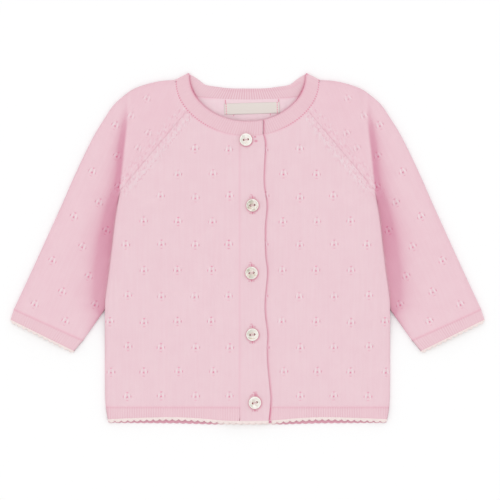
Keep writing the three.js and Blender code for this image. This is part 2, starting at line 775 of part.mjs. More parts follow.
const knit = { color: PINK, roughness: 0.95, metalness: 0 };
const rib = { color: PINK_RIB, roughness: 0.95, metalness: 0 };
const edging = { color: CREAM, roughness: 0.9, metalness: 0 };
const pearl = { color: PEARL, roughness: 0.25, metalness: 0.1 };

const garment = new THREE.Group();

function add(name, geometry, finish) {
  geometry.computeVertexNormals();
  const mesh = new THREE.Mesh(geometry, new THREE.MeshStandardMaterial(finish));
  mesh.name = name;
  garment.add(mesh);
  return mesh;
}

const level = () => 0;
const hemSide = BODY_SIDE[1].x;
const hemHeight = (rise) => (x, y) => bodyTop(x, y) + rise(x);

add("back", back(), knit);
add("front_right", front(-1, BAND_SEAM, lap), knit);
add("front_left", front(1, BUTTON_SEAM, level), knit);
add("buttonhole_band", cutAll(buttonholeBand(), slitCutters()), knit);
add("button_band", buttonBand(), knit);
add("hem_back", hemBack(), rib);
add("hem_front_right", hemFront(-1, -(BAND_SEAM + INSET) / hemSide, lap), rib);
add("hem_front_left", hemFront((BUTTON_SEAM + INSET) / hemSide, 1, level), rib);
add("picot_hem_back", picotHem(-hemSide, hemSide, backHemEdge, () => BACK_Z), edging);
add("picot_hem_front_right", picotHem(-hemSide, BAND_EDGE[0].x, frontHemEdge, hemHeight(lap)), edging);
add("picot_hem_front_left", picotHem(-BUTTON_EDGE, hemSide, frontHemEdge, hemHeight(level)), edging);
add("neckband", neckband(), rib);
add("label", label(), edging);

const pairs = [
  { name: "sleeve", geometry: sleeve(), finish: knit },
  { name: "cuff", geometry: cuff(), finish: rib },
  { name: "picot_cuff", geometry: picotCuff(), finish: edging },
];
pairs.forEach(({ name, geometry, finish }) => {
  add(`${name}_left`, geometry, finish);
  add(`${name}_right`, mirrored(geometry), finish);
});

BUTTONS.forEach(({ x, y, tilt }, i) => {
  const mesh = add(`button_${i + 1}`, button(), pearl);
  mesh.position.set(x, y, bodyTop(x, y) + lap(x) + CLOTH / 2 + GAP);
  mesh.rotation.z = THREE.MathUtils.degToRad(tilt);
});

// The origin is under the middle of the garment.
const box = new THREE.Box3().setFromObject(garment);
const middle = box.getCenter(new THREE.Vector3());
garment.position.set(-middle.x, -middle.y, -box.min.z);

export default garment;
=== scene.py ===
import math

import bmesh
import bpy
import numpy as np
from mathutils import Matrix, Vector


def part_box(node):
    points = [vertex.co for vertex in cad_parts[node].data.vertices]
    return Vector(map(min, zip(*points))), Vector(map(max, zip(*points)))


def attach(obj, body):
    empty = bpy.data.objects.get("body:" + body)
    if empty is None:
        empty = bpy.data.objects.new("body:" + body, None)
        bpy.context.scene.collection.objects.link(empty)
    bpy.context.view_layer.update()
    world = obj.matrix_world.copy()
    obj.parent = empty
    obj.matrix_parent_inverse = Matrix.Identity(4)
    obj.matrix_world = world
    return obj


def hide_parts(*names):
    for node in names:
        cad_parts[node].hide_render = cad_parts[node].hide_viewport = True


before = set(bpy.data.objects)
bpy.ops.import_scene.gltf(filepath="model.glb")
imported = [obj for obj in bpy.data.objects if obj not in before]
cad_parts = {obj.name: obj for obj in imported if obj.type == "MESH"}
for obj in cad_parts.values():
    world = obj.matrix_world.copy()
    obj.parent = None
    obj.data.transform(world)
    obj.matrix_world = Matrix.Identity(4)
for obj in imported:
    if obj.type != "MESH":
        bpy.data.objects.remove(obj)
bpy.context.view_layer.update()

# A baby's raglan cardigan in fine pink knit, lying flat, front up and buttoned.
# Sizes are millimetres on the garment: x across it, y up from the hem, z up from the surface.
# Right and left are the wearer's, so the right half lies on the -x side.

MM = 0.001
FOOT_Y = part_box("picot_hem_back")[0].y  # where the garment's y = 0 lies in the frame

# Layers, as the solids have them.
CLOTH = 1.4  # wall of the knit
GAP = 0.3
LAYER = CLOTH + GAP
BACK_Z = CLOTH / 2
FRONT_Z = BACK_Z + LAYER
FOLD = CLOTH + GAP / 2  # outer radius of a fold

# Seams close here to a hair, where the solids keep their gaps.
INSET = 0.004
UNDERARM_GAP = 0.02
EDGE_THIN = 0.4  # share of the wall left at an edge
EDGE_CELL = 0.55  # width of the strip that rounds an edge off
SEAM_DROP = 0.55  # how far side seams turn in to meet each other
SEAM_TURN = 0.7  # and over how wide a strip
TUBE_SEAM = 0.008  # the same for a sleeve, as a share of its width

UNDERARM = np.array([114.3, 211.0])
FRONT_RAGLAN_TOP = np.array([54.0, 283.0])
BACK_RAGLAN_TOP = np.array([50.0, 296.4])
SHOULDER = np.array([65.3, 310.5])
NECK_PEAK = np.array([52.9, 316.8])

HEM_TOP = 16.2
HEM_SIDE = 125  # half the hem's width at its foot
PICOT_DEEP = 2.6
PICOT_ROOT = 1.1
HEM_PICOT_DEEP = 3.3
HEM_PICOT_ROOT = 1.8
BACK_PICOT_ROOT = 2.6
SCALLOP = 5.85
NECKBAND_WIDE = 13.0
RIB = 2.15
RIB_CELL = 0.42  # five cells to a rib
PICOT_CELL = 0.45
HALVES = ((1, "left"), (-1, "right"))
SLEEVE_LOW_LONG = 150  # about, from the cuff to the underarm

# How far the upper layer stands off the lower one, and over which distances that rises.
BODY_PUFF = 2.4
CENTRE_PUFF = 1.7
HEM_PUFF = 0.4
SLEEVE_PUFF = 2.9
CUFF_PUFF = 1.0
PUFF_ACROSS = (10, 60)
PUFF_UP = (5, 50)
PUFF_OFF_SIDE = 12
PUFF_OFF_CUFF = (60, 100)
PUFF_OFF_VALLEY = 18
PUFF_OFF_FOLD = 24
LAP_RISE = (-32, -10)  # where the right front rises onto the left one

# The upper band is sewn on at x = -6.75. The lower one is sewn on at 12.5 and reaches to -8.3.
BAND_SEAM = 6.75
BUTTON_SEAM = 12.5
BUTTON_EDGE = 8.3

# The front's neck lines are parts of ellipses. The radius is a mean one, for distances from the line.
NECK_EDGE = {"y": 316.0, "across": 53.0, "down": 43.0, "radius": 46}
NECK_SEAM = {"y": 312.0, "across": 65.5, "down": 52.0, "radius": 58}

# Outlines, each a few points (x, y).
BODY_SIDE = np.array([
    (124.6, 0), (125, 2.7), (127.4, 17), (128, 37.8), (128, 104.4),
    (127.3, 116), (124.4, 137.7), (122, 157.5), (118.7, 184.5), (114.3, 211),
])
BAND_EDGE = np.array([
    (18.5, 0), (20.6, 22), (19.6, 36), (17.7, 56), (17.3, 70), (17.8, 82), (15.8, 98), (15.5, 112),
    (17.6, 137), (16, 153), (15.6, 177), (17.2, 198), (14.8, 214), (14.6, 228), (15.7, 252), (13.8, 262),
])
FRONT_HEM_EDGE = np.array([(0, 0.6), (20, 0.9), (45, 3), (68, 4), (95, 3.4), (128, 2)])
BACK_HEM_EDGE = np.array([(0, 0.2), (30, 0.4), (64, 1.5), (125, 1.9)])
SLEEVE_INNER = np.array([
    (148, 76.2), (128, 104.4), (116, 120.6), (107.5, 136), (104.5, 150), (105.5, 165),
    (109.5, 180), (116.3, 196.5), (UNDERARM[0] + UNDERARM_GAP, UNDERARM[1]),
])
SLEEVE_FOLD_LOW = np.array([
    (210.2, 104.1), (195.8, 134.9), (180.5, 168.4), (164.8, 203.1), (158.9, 216.9), (149, 238.5),
])
SLEEVE_FOLD_HIGH = np.array([
    (149, 238.5), (138.2, 260.1), (128.3, 276.3), (121, 287.1), (112, 295.6),
    (100.4, 303.3), (81.5, 308.9), (65.3, 310.5),
])
VALLEY = np.array([
    (157, 64.4), (148, 76.2), (128.5, 104.4), (128, 116), (125, 137.7), (122.6, 157.5),
    (119.3, 184.5), (115, 211), (111.5, 242.4), (108.6, 271), (107.9, 300),
])
BACK_EDGE = np.array([(48, 313.4), (42.6, 309.5), (37.4, 306), (26.1, 304.1), (15.4, 302.9), (0, 302.7)])
BACK_SEAM = np.array([(58, 302.7), (50, 296.4), (40, 294.8), (30, 294), (15, 293.2), (0, 292.9)])
CUFF_INNER_END = np.array([156.0, 66.7])
CUFF_OUTER_END = np.array([213.2, 95.0])
CUFF_EDGE_INNER = np.array([157.0, 64.4])
CREASE_WIDE = 3.5  # half width of the crease where a sleeve leaves the body
GARMENT = Matrix.Translation((0, FOOT_Y, 0)) @ Matrix.Scale(MM, 4)  # from garment millimetres to the frame
CLIMB = {"inner": (62, 102), "low": (60, 103), "high": (197, 211)}  # where the body climbs onto the sleeves

# Buttons from the neck down: centre, turn in degrees, how much of the shell is patchy.
BUTTONS = (
    {"x": -1.4, "y": 256.6, "turn": 7, "patches": 0.35},
    {"x": 4.4, "y": 197.7, "turn": 7, "patches": 1.0},
    {"x": 3.6, "y": 136.9, "turn": 7, "patches": 0.9},
    {"x": 4.4, "y": 81.5, "turn": 7, "patches": 0.55},
    {"x": 6.6, "y": 20.3, "turn": 15, "patches": 0.5},
)
BUTTON_HOLE = 0.9  # radius of a thread hole
BUTTON_HOLE_APART = 1.9  # from the button's middle
LABEL = {"x": 4.0, "y": 284.9, "long": 49.5, "wide": 10.0, "thick": 0.5, "tilt": math.radians(1.7)}
LABEL_GAP = 0.05  # between the back and the label
LABEL_STITCHES = (1.6, 47.6)  # how far along the label its two rows of stitches lie
# The single stitches at its corners, each from one place to another.
LABEL_CORNERS = (
    ((-19.8, 288.9), (-19.9, 292.6)), ((28.0, 290.4), (28.1, 293.2)),
    ((-12.6, 278.0), (-12.2, 279.2)), ((20.6, 278.6), (20.4, 281.0)),
)

# Knit gauge and the eyelet flowers.
WALE = 1.07
COURSE = 0.8
MOTIF_REACH = 6.5  # a flower and the finer mesh under it
MOTIF_NEAR = MOTIF_REACH + 1.5  # as far out as the cloth knows its nearest flower
FAR = 50.0  # stands for "nothing near"
BODY_MOTIF_X = 16.4  # the column of flowers nearest the middle, and how far apart the columns lie
MOTIF_STEP = 15.3
MOTIF_COLUMNS = 9
MOTIF_DRIFT = 0.6
BODY_MOTIF_ROWS = (248.9, 226.6, 205.8, 184.5, 162.9, 140.0, 117.0, 94.0, 71.1, 48.6, 27.0)
MOTIF_OFF_SIDE = 1.5  # no flower lies nearer to a side, or to a raglan seam
MOTIF_OFF_RAGLAN = 12
SLEEVE_LEAN = math.radians(24.1)
# Flowers of a sleeve: how far in from the fold and how far up from the cuff's end.
SLEEVE_MOTIFS = (
    (14.5, 22), (46, 19.5), (32.5, 42.5), (64, 44), (13, 64.5), (48.5, 65), (32.5, 87), (14.5, 108.5),
    (46, 109), (30, 129), (40, 149.5), (13, 152), (27.5, 174), (42, 188), (15, 198.5), (45, 204),
    (24.5, 212), (31, 232),
)
EYELET_DEEP = 0.75  # relief of a flower's holes, of its stitches and of a narrowing mark
STITCH_HIGH = 0.28
MARK_HIGH = 0.2
MARK_FROM_SEAM = 5.4  # of the narrowing marks beside a raglan seam
MARK_STEP = 6.1
FASHIONED_OUT = (5, 12)  # how far off the raglan seam the slanting stitches fade
FASHIONED_UP = (196, 214)  # and where they begin above the side
STITCH_MARKS_REACH = 12.0  # as far as a buttonhole's stitches show
TOP_HOLE_ROWS = (229, 231)  # above these the buttonhole lies across, for the neck's button
FOOT_HOLE_ROWS = (49, 51)  # below these the hem's button pulls at its buttonhole
LINKING = 2.1  # one loop of the seam that links the neckband on
LINE_WIDE = 1.15  # width of the painted shade line along a seam or an edge
# How deep the painted shade along each seam is, 0 to 1.
SHOWS = {
    "hem": 0.16, "raglan": 0.05, "neck": 0.12, "band": 0.12, "band side": 0.08, "cuff": 0.2,
    "hem picot": 0.04, "cuff picot": 0.05,
}
# Painted shade of the fold beside the body: height on the garment, width of its deepest part, fade beyond it,
# depth.
FOLD_SHADE = np.array([
    (70, 0.2, 1, 0.1), (81, 0.2, 1.2, 0.2), (90, 0.2, 2.2, 0.5), (99, 0.4, 4.5, 0.65), (104, 5, 6, 0.55),
    (108, 9, 6.5, 0.5), (117, 10, 8, 0.48), (144, 12.6, 6, 0.52), (171, 11.3, 7.5, 0.6), (198, 9, 6, 0.58),
    (216, 5, 6.5, 0.62), (234, 4.5, 5.5, 0.6), (252, 5.5, 3.5, 0.56), (261, 4.5, 3.5, 0.54),
    (270, 4, 3, 0.44), (279, 2, 3, 0.25), (288, 1, 2.5, 0.12), (300, 1, 2, 0),
])


# Arithmetic for arrays of points.

def mix(start, end, share):
    return start + (end - start) * share


def smooth(value, start, end):
    share = np.clip((value - start) / (end - start), 0, 1)
    return share * share * (3 - 2 * share)


def spaced(start, end, length, cell, narrow=(True, True)):
    """Stops from start to end, a cell apart, with a narrow cell at an end that is an edge."""
    inner = np.linspace(0, length, max(2, round(length / cell)) + 1)
    if narrow[0]:
        inner = np.insert(inner, 1, EDGE_CELL)
    if narrow[1]:
        inner = np.insert(inner, -1, length - EDGE_CELL)
    return start + (end - start) * inner / length


AT_START, AT_END = (True, False), (False, True)


def chained(*runs):
    """The stops of several stretches in a row, with each shared end once."""
    return np.concatenate([runs[0]] + [run[1:] for run in runs[1:]])


def read_off(table, value, out=1, by=0):
    """One column of a table at values of another that only rises."""
    return np.interp(value, table[:, by], table[:, out])


def spline(points, count=400):
    """Points close together on the smooth curve through a few points."""
    padded = np.vstack([points[:1], points, points[-1:]])
    t = np.linspace(0, len(points) - 1, count)
    i = np.minimum(t.astype(int), len(points) - 2)
    f = (t - i)[:, None]
    a, b, c, d = (padded[i + k] for k in range(4))
    leave, arrive = (c - a) / 2, (d - b) / 2
    cubic = (2 * b - 2 * c + leave + arrive) * f**3
    return cubic + (3 * c - 3 * b - 2 * leave - arrive) * f**2 + leave * f + b


def lengths_of(path):
    """The length run so far at each point of a path."""
    return np.concatenate([[0], np.cumsum(np.linalg.norm(np.diff(path, axis=0), axis=1))])


def along(path, share):
    """The places at these shares of a path's length."""
    lengths = lengths_of(path)
    at = share * lengths[-1]
    return np.stack([np.interp(at, lengths, path[:, k]) for k in range(path.shape[1])], axis=1)


def heading(path, share, step=0.004):
    """The path's direction at these shares of its length."""
    ahead = along(path, np.minimum(share + step, 1)) - along(path, np.maximum(share - step, 0))
    return ahead / np.linalg.norm(ahead, axis=1)[:, None]


def nearest(path, at):
    """Distance from each point to a path, and the side of it that the point lies on."""
    best = np.full(len(at), np.inf)
    side = np.zeros(len(at))
    for start, end in zip(path[:-1], path[1:]):
        run = end - start
        off = at - start
        share = np.clip(off @ run / (run @ run), 0, 1)
        gap = off - share[:, None] * run
        distance = np.hypot(gap[:, 0], gap[:, 1])
        closer = distance < best
        best = np.where(closer, distance, best)
        side = np.where(closer, np.sign(run[0] * off[:, 1] - run[1] * off[:, 0]), side)
    return best, side


def points(x, y):
    return np.stack(np.broadcast_arrays(x, y), axis=1).astype(float)


def lifted(flat, z):
    return np.column_stack([flat, np.broadcast_to(z, len(flat))])


# Heights of the lying cloth.

SMOOTH_SIDE = spline(BODY_SIDE, 60)
SMOOTH_VALLEY = spline(VALLEY, 60)
SMOOTH_FOLD = np.vstack([spline(SLEEVE_FOLD_LOW, 30), spline(SLEEVE_FOLD_HIGH, 40), NECK_PEAK])
SMOOTH_BAND = spline(BAND_EDGE, 120)
SMOOTH_FRONT_HEM = spline(FRONT_HEM_EDGE, 60)


def body_side(y):
    return read_off(SMOOTH_SIDE, y, out=0, by=1)


def band_edge(y):
    return read_off(SMOOTH_BAND, y, out=0, by=1)


def climb(x, y):
    """How far the body lies raised by the sleeve's two layers under it."""
    inward = smooth(np.abs(x), *CLIMB["inner"])
    upward = smooth(y, *CLIMB["low"]) * (1 - smooth(y, *CLIMB["high"]))
    return 2 * LAYER * inward * upward


def body_fullness(at):
    from_side = nearest(SMOOTH_SIDE, at)[0]
    full = mix(CENTRE_PUFF, BODY_PUFF, smooth(at[:, 0], *PUFF_ACROSS))
    puff = full * (1 - np.exp(-from_side / PUFF_OFF_SIDE))
    return mix(np.minimum(HEM_PUFF, puff), puff, smooth(at[:, 1], *PUFF_UP))


def sleeve_fullness(at, from_valley):
    from_cuff = np.linalg.norm(at - CUFF_EDGE_INNER, axis=1)
    full = mix(CUFF_PUFF, SLEEVE_PUFF, smooth(from_cuff, *PUFF_OFF_CUFF))
    return full * smooth(from_valley, 0, PUFF_OFF_VALLEY)


def outside_valley(at):
    distance, side = nearest(SMOOTH_VALLEY, at)
    return np.where(side < 0, distance, -distance)


def fullness(x, y, on_sleeve):
    """How far the upper layer stands off the lower one, beyond the plain gap."""
    at = points(np.abs(x), y)
    fold = smooth(nearest(SMOOTH_FOLD, at)[0], 0, PUFF_OFF_FOLD)
    if not on_sleeve:
        return body_fullness(at) * fold
    outside = outside_valley(at)
    above = np.where(at[:, 1] > UNDERARM[1], body_fullness(at), 0)
    crossed = smooth(outside, -CREASE_WIDE, CREASE_WIDE)
    return mix(above, sleeve_fullness(at, np.maximum(outside, 0)), crossed) * fold


def lap(x):
    """How far the right front and its band rise onto the left ones."""
    return LAYER * smooth(x, *LAP_RISE)


def level(x):
    """No rise."""
    return 0 * x


def back_top(x, y):
    return BACK_Z + level(x)


def body_top(x, y):
    return FRONT_Z + climb(x, y) + fullness(x, y, False)


def lapped_top(x, y):
    return body_top(x, y) + lap(x)


def sleeve_top(x, y):
    return FRONT_Z + fullness(x, y, True)


# Surfaces of the pieces: p runs across, w up, and each gives the middle of the cloth.

def neck_seam_y(x):
    share = np.minimum(np.abs(x) / NECK_SEAM["across"], 1)
    return NECK_SEAM["y"] - NECK_SEAM["down"] * np.sqrt(1 - share**2)


def back_seam_y(x):
    return read_off(BACK_SEAM[::-1], np.abs(x))


def yoke(ends, neck_ends, across, q, neck_y):
    """A panel above the underarm, between its raglan sides, its top bent to the neck seam."""
    at = mix(ends[0], ends[1], across[:, None])
    seam = mix(neck_ends[0], neck_ends[1], across[:, None])
    at[:, 1] += (neck_y(seam[:, 0]) - seam[:, 1]) * q * q
    return at


def raglan(q, top):
    """A panel's raglan side, with q from the underarm to the neck."""
    return mix(UNDERARM, top, q[:, None]) - np.outer(np.minimum(1, q / 0.1), (INSET, 0))


def side_turn(x, y):
    """How far the cloth turns towards the other layer at the side."""
    return SEAM_DROP * np.exp(-(((body_side(y) - np.abs(x)) / SEAM_TURN) ** 2))


def back_surface(p, w):
    """The back panel: up to the underarm for w from 0 to 1, then its yoke."""
    y = mix(HEM_TOP, UNDERARM[1], np.minimum(w, 1))
    q = np.clip(w - 1, 0, 1)
    corner, flip = raglan(q, BACK_RAGLAN_TOP), np.array([-1, 1])
    neck_ends = (BACK_RAGLAN_TOP * flip, BACK_RAGLAN_TOP)
    high = yoke((corner * flip, corner), neck_ends, (p + 1) / 2, q, back_seam_y)
    flat = np.where((w <= 1)[:, None], points(p * body_side(y), y), high)
    return lifted(flat, BACK_Z + climb(*flat.T) + np.where(w <= 1, side_turn(*flat.T), 0))


def front_surface(side, centre, rise):
    """A front panel, laid out as the back, from its band's seam to its side."""
    def surface(p, w):
        out = 1 - p if side < 0 else p
        y = mix(HEM_TOP, UNDERARM[1], np.minimum(w, 1))
        low = points(side * mix(centre + INSET, body_side(y), out), y)
        q = np.clip(w - 1, 0, 1)
        foot = np.array([centre + INSET, neck_seam_y(centre)])
        ends = (points(foot[0], mix(UNDERARM[1], foot[1], q)), raglan(q, FRONT_RAGLAN_TOP))
        high = yoke(ends, (foot, FRONT_RAGLAN_TOP), out, q, neck_seam_y) * (side, 1)
        flat = np.where((w <= 1)[:, None], low, high)
        height = body_top(*flat.T) + rise(flat[:, 0]) - np.where(w <= 1, side_turn(*flat.T), 0)
        return lifted(flat, height)
    return surface


def front_hem_edge(x):
    return read_off(SMOOTH_FRONT_HEM, np.abs(x))


def back_hem_edge(x):
    return read_off(BACK_HEM_EDGE, np.abs(x))


def hem_surface(start, end, edge, height, turned):
    """A rib hem between two shares of its half width, from its edging up to the panel's foot."""
    def surface(p, w):
        share = mix(start, end, p)
        low = edge(share * HEM_SIDE) + HEM_PICOT_DEEP + INSET
        y = mix(low, HEM_TOP - INSET, w)
        x = share * mix(HEM_SIDE, body_side(y), np.abs(share))
        return lifted(points(x, y), height(x, y) + turned * side_turn(x, y))
    return surface


def band_surface(left, right, rise):
    """A front band between two edges that are functions of y, from the hem to the neck seam."""
    def surface(p, w):
        foot = front_hem_edge(mix(left(0), right(0), p)) + HEM_PICOT_DEEP + INSET
        head = neck_seam_y(mix(left(UNDERARM[1]), right(UNDERARM[1]), p)) - INSET
        y = mix(foot, head, w)
        x = mix(left(y), right(y), p)
        return lifted(points(x, y), body_top(x, y) + rise(x))
    return surface


def picked(place, *parts):
    """The place, or a part's own place wherever that part lies."""
    for here, part in parts:
        place = np.where(here[:, None], part, place)
    return place


def round_fold(rim, inward, share):
    """The cloth's half turn from the upper layer to the lower one."""
    turn = share * math.pi
    radius = LAYER / 2
    flat = rim - inward * (radius * np.sin(turn))[:, None]
    return lifted(flat, BACK_Z + radius + radius * np.cos(turn))


def tube(p, upper, lower, fold, inward, height):
    """A flattened tube: upper layer for p from 0 to 1, fold from 1 to 2, lower layer from 2 to 3."""
    rim = fold + inward * FOLD
    top = upper(np.clip(p, 0, 1), rim)
    bottom = lower(np.clip(3 - p, 0, 1), rim)
    place = picked(
        round_fold(rim, inward, np.clip(p - 1, 0, 1)),
        (p >= 2, lifted(bottom, BACK_Z)), (p <= 1, lifted(top, height(*top.T))),
    )
    place[:, 2] -= SEAM_DROP * (np.exp(-((p / TUBE_SEAM) ** 2)) - np.exp(-(((3 - p) / TUBE_SEAM) ** 2)))
    return place


def turned_in(heads):
    return np.column_stack([-heads[:, 1], heads[:, 0]])


def straight(start):
    return lambda share, rim: mix(start, rim, share[:, None])


def ellipse_point(ellipse, angle):
    return points(ellipse["across"] * np.sin(angle), ellipse["y"] - ellipse["down"] * np.cos(angle))


INNER_PATH = spline(SLEEVE_INNER)
FOLD_LOW = spline(SLEEVE_FOLD_LOW)
FOLD_HIGH = spline(SLEEVE_FOLD_HIGH)


def sleeve_surface(p, w):
    """A sleeve: from the cuff to the underarm for w from 0 to 1, then its raglan head."""
    share = np.clip(w, 0, 1)
    layer = straight(along(INNER_PATH, share))
    low = tube(p, layer, layer, along(FOLD_LOW, share), turned_in(heading(FOLD_LOW, share)), sleeve_top)
    q = np.clip(w - 1, 0, 1)
    shift = points(mix(UNDERARM_GAP, INSET, np.minimum(1, q / 0.1)), 0)
    upper_from = mix(UNDERARM, FRONT_RAGLAN_TOP, q[:, None]) + shift
    lower_from = mix(UNDERARM, BACK_RAGLAN_TOP, q[:, None]) + shift

    def upper(out, rim):
        at = mix(upper_from, rim, out[:, None])
        angle = mix(math.asin(FRONT_RAGLAN_TOP[0] / NECK_SEAM["across"]), math.pi / 2, out)
        chord = mix(FRONT_RAGLAN_TOP, SHOULDER, out[:, None])
        bow = (ellipse_point(NECK_SEAM, angle) - chord) * (q**3 * (1 - out**4))[:, None]
        return at + bow

    inward = turned_in(heading(FOLD_HIGH, q))
    high = tube(p, upper, straight(lower_from), along(FOLD_HIGH, q), inward, sleeve_top)
    return np.where((w <= 1)[:, None], low, high)


CUFF_SEAM_INNER, CUFF_SEAM_OUTER = SLEEVE_INNER[0], SLEEVE_FOLD_LOW[0]
CUFF_WIDE = float(np.linalg.norm(CUFF_SEAM_INNER - CUFF_SEAM_OUTER))
CUFF_DEEP = float(np.linalg.norm(CUFF_OUTER_END + CUFF_INNER_END - CUFF_SEAM_OUTER - CUFF_SEAM_INNER)) / 2
ALONG_SLEEVE = CUFF_OUTER_END + CUFF_INNER_END - CUFF_SEAM_INNER - CUFF_SEAM_OUTER
ALONG_SLEEVE = ALONG_SLEEVE / np.linalg.norm(ALONG_SLEEVE)


def cuff_surface(p, w):
    inner = mix(CUFF_INNER_END, CUFF_SEAM_INNER, w[:, None])
    fold = mix(CUFF_OUTER_END, CUFF_SEAM_OUTER, w[:, None])
    inward = (inner - fold) / np.linalg.norm(inner - fold, axis=1)[:, None]
    return tube(p, straight(inner), straight(inner), fold, inward, sleeve_top)


def scallops(count, root=PICOT_ROOT, deep=PICOT_DEEP):
    """How far the edging reaches at each share of its length."""
    return lambda share: mix(root, deep, np.abs(np.sin(math.pi * count * share)))


def picot_hem_surface(left, right, edge, height, root):
    reach = scallops(round((right - left) / SCALLOP), root, HEM_PICOT_DEEP)

    def surface(p, w):
        x = mix(left, right, p)
        y = edge(x) + HEM_PICOT_DEEP - reach(p) * (1 - w)
        return lifted(points(x, y), height(x, y))
    return surface


def picot_cuff_surface(p, w):
    wavy = scallops(round(CUFF_WIDE / SCALLOP))
    reach = np.where(p <= 1, wavy(p), np.where(p >= 2, wavy(p - 2), PICOT_ROOT))
    out = (reach * (1 - w))[:, None] * ALONG_SLEEVE
    inner, fold = CUFF_INNER_END + out, CUFF_OUTER_END + out
    inward = (CUFF_INNER_END - CUFF_OUTER_END) / np.linalg.norm(CUFF_INNER_END - CUFF_OUTER_END)
    return tube(p, straight(inner), straight(inner), fold, inward, sleeve_top)


BAND_ALONG = (NECK_PEAK - SHOULDER) / np.linalg.norm(NECK_PEAK - SHOULDER)
BAND_INWARD = np.array([-BAND_ALONG[1], BAND_ALONG[0]])


def neck_line(ellipse, corner, back_table):
    """One line round the neckband, from its upper end at the opening to its lower end."""
    rim = corner + BAND_INWARD * FOLD
    right = np.vstack([rim, back_table])
    back = spline(np.vstack([right, right[-2::-1] * (-1, 1)]))
    miss = rim - ellipse_point(ellipse, np.array([math.pi / 2]))[0]

    def front(share, beyond):
        angle = mix(-math.asin(beyond / ellipse["across"]), math.pi / 2, share)
        return ellipse_point(ellipse, angle) + np.outer(share**6, miss)

    def line(s):
        right_front = front(np.clip(s, 0, 1), BAND_EDGE[-1, 0]) * (-1, 1)
        left_front = front(np.clip(5 - s, 0, 1), BUTTON_EDGE)
        behind = along(back, np.clip(3 - s, 0, 1))
        on_right = s < 2.5
        turn = np.where(on_right, np.clip(s - 1, 0, 1), np.clip(4 - s, 0, 1))
        mirror = lifted(points(np.where(on_right, -1, 1), 1), 1)
        return picked(
            round_fold(rim, BAND_INWARD, turn) * mirror,
            (s <= 1, lifted(right_front, lapped_top(*right_front.T))),
            (s >= 4, lifted(left_front, body_top(*left_front.T))),
            ((s >= 2) & (s <= 3), lifted(behind, BACK_Z)),
        )
    return line


NECK_LINES = (neck_line(NECK_EDGE, NECK_PEAK, BACK_EDGE), neck_line(NECK_SEAM, SHOULDER, BACK_SEAM))


def neckband_surface(s, w):
    edge, seam = (line(s) for line in NECK_LINES)
    return mix(edge, seam, w[:, None])


def label_surface(p, w):
    out, up = (p - 0.5) * LABEL["long"], (w - 0.5) * LABEL["wide"]
    c, s = math.cos(LABEL["tilt"]), math.sin(LABEL["tilt"])
    flat = points(LABEL["x"] + out * c - up * s, LABEL["y"] + out * s + up * c)
    return lifted(flat, CLOTH + LABEL_GAP + LABEL["thick"] / 2)


# Relief and colour that follow the knit. These work on arrays and on shader values alike.

def square(value):
    return value * value


def spot(x, y, centre_x, centre_y, wide, high):
    """1 within a small oval and 0 outside it."""
    far = square((x - centre_x) / wide) + square((y - centre_y) / high)
    return math.e ** (far * far * -1)


def eyelets(x, y, low=1.0, top=0.6, right=0.7, left=0.5):
    """The holes of a flower: the deepest near its middle, narrow ones beside, shallow ones at both ends."""
    sides = spot(x, y, 3.4, -0.7, 0.6, 1.2) * right + spot(x, y, -3.4, -0.8, 0.6, 1.2) * left
    ends = spot(x, y, 0.1, 2.8, 1.2, 0.8) * top + spot(x, y, 0, -4.4, 1.3, 0.6) * left * 0.6
    return sides + ends + spot(x, y, 0, -1.3, 1.0, 1.0) * low


def lifted_stitches(x, y):
    """The slanting stitches that stand up between the holes."""
    return spot(x + y * 0.2, y, 1.8, 0, 0.6, 2.6) + spot(x - y * 0.2, y, -1.8, 0, 0.6, 2.6)


def mark_stitch(x, y):
    """One narrowing mark beside a raglan seam."""
    return spot(x + y * 0.5, y, -0.75, 0, 0.5, 1.3) + spot(x + y * 0.5, y, 0.75, 0, 0.5, 1.3)


def hole_ends(x, y):
    """What a button leaves to be seen of its buttonhole: the slit's two ends, whose deep pink is painted
    shade.
    """
    return spot(x, y, 0.1, 7.2, 0.9, 1.5) + spot(x, y, 0.1, -7.0, 0.8, 1.2)


def hole_stitches(x, y):
    """The stitches round a buttonhole's ends."""
    above = spot(x, y, -2.0, 7.2, 0.9, 0.9) + spot(x, y, 2.1, 7.0, 0.9, 0.9) + spot(x, y, -0.9, 9.4, 1.2, 0.6)
    return above + spot(x, y, -2.1, -7.4, 0.8, 0.7) + spot(x, y, 2.1, -7.3, 0.8, 0.7)


def pull_lines(x, y):
    """Small creases that run from one point down and round a button's upper rim, painted deep pink as their
    shade.
    """
    stem = spot(x, y, 1.0, 9.2, 1.3, 1.3) * 0.7 + spot(x, y, 1.2, 7.2, 0.6, 1.6)
    left = spot(x - y, x + y, -9.9, 2.6, 0.9, 2.6) * 0.9
    return stem + left + spot(x + y, x - y, 9.0, -2.6, 0.8, 1.8) * 0.7
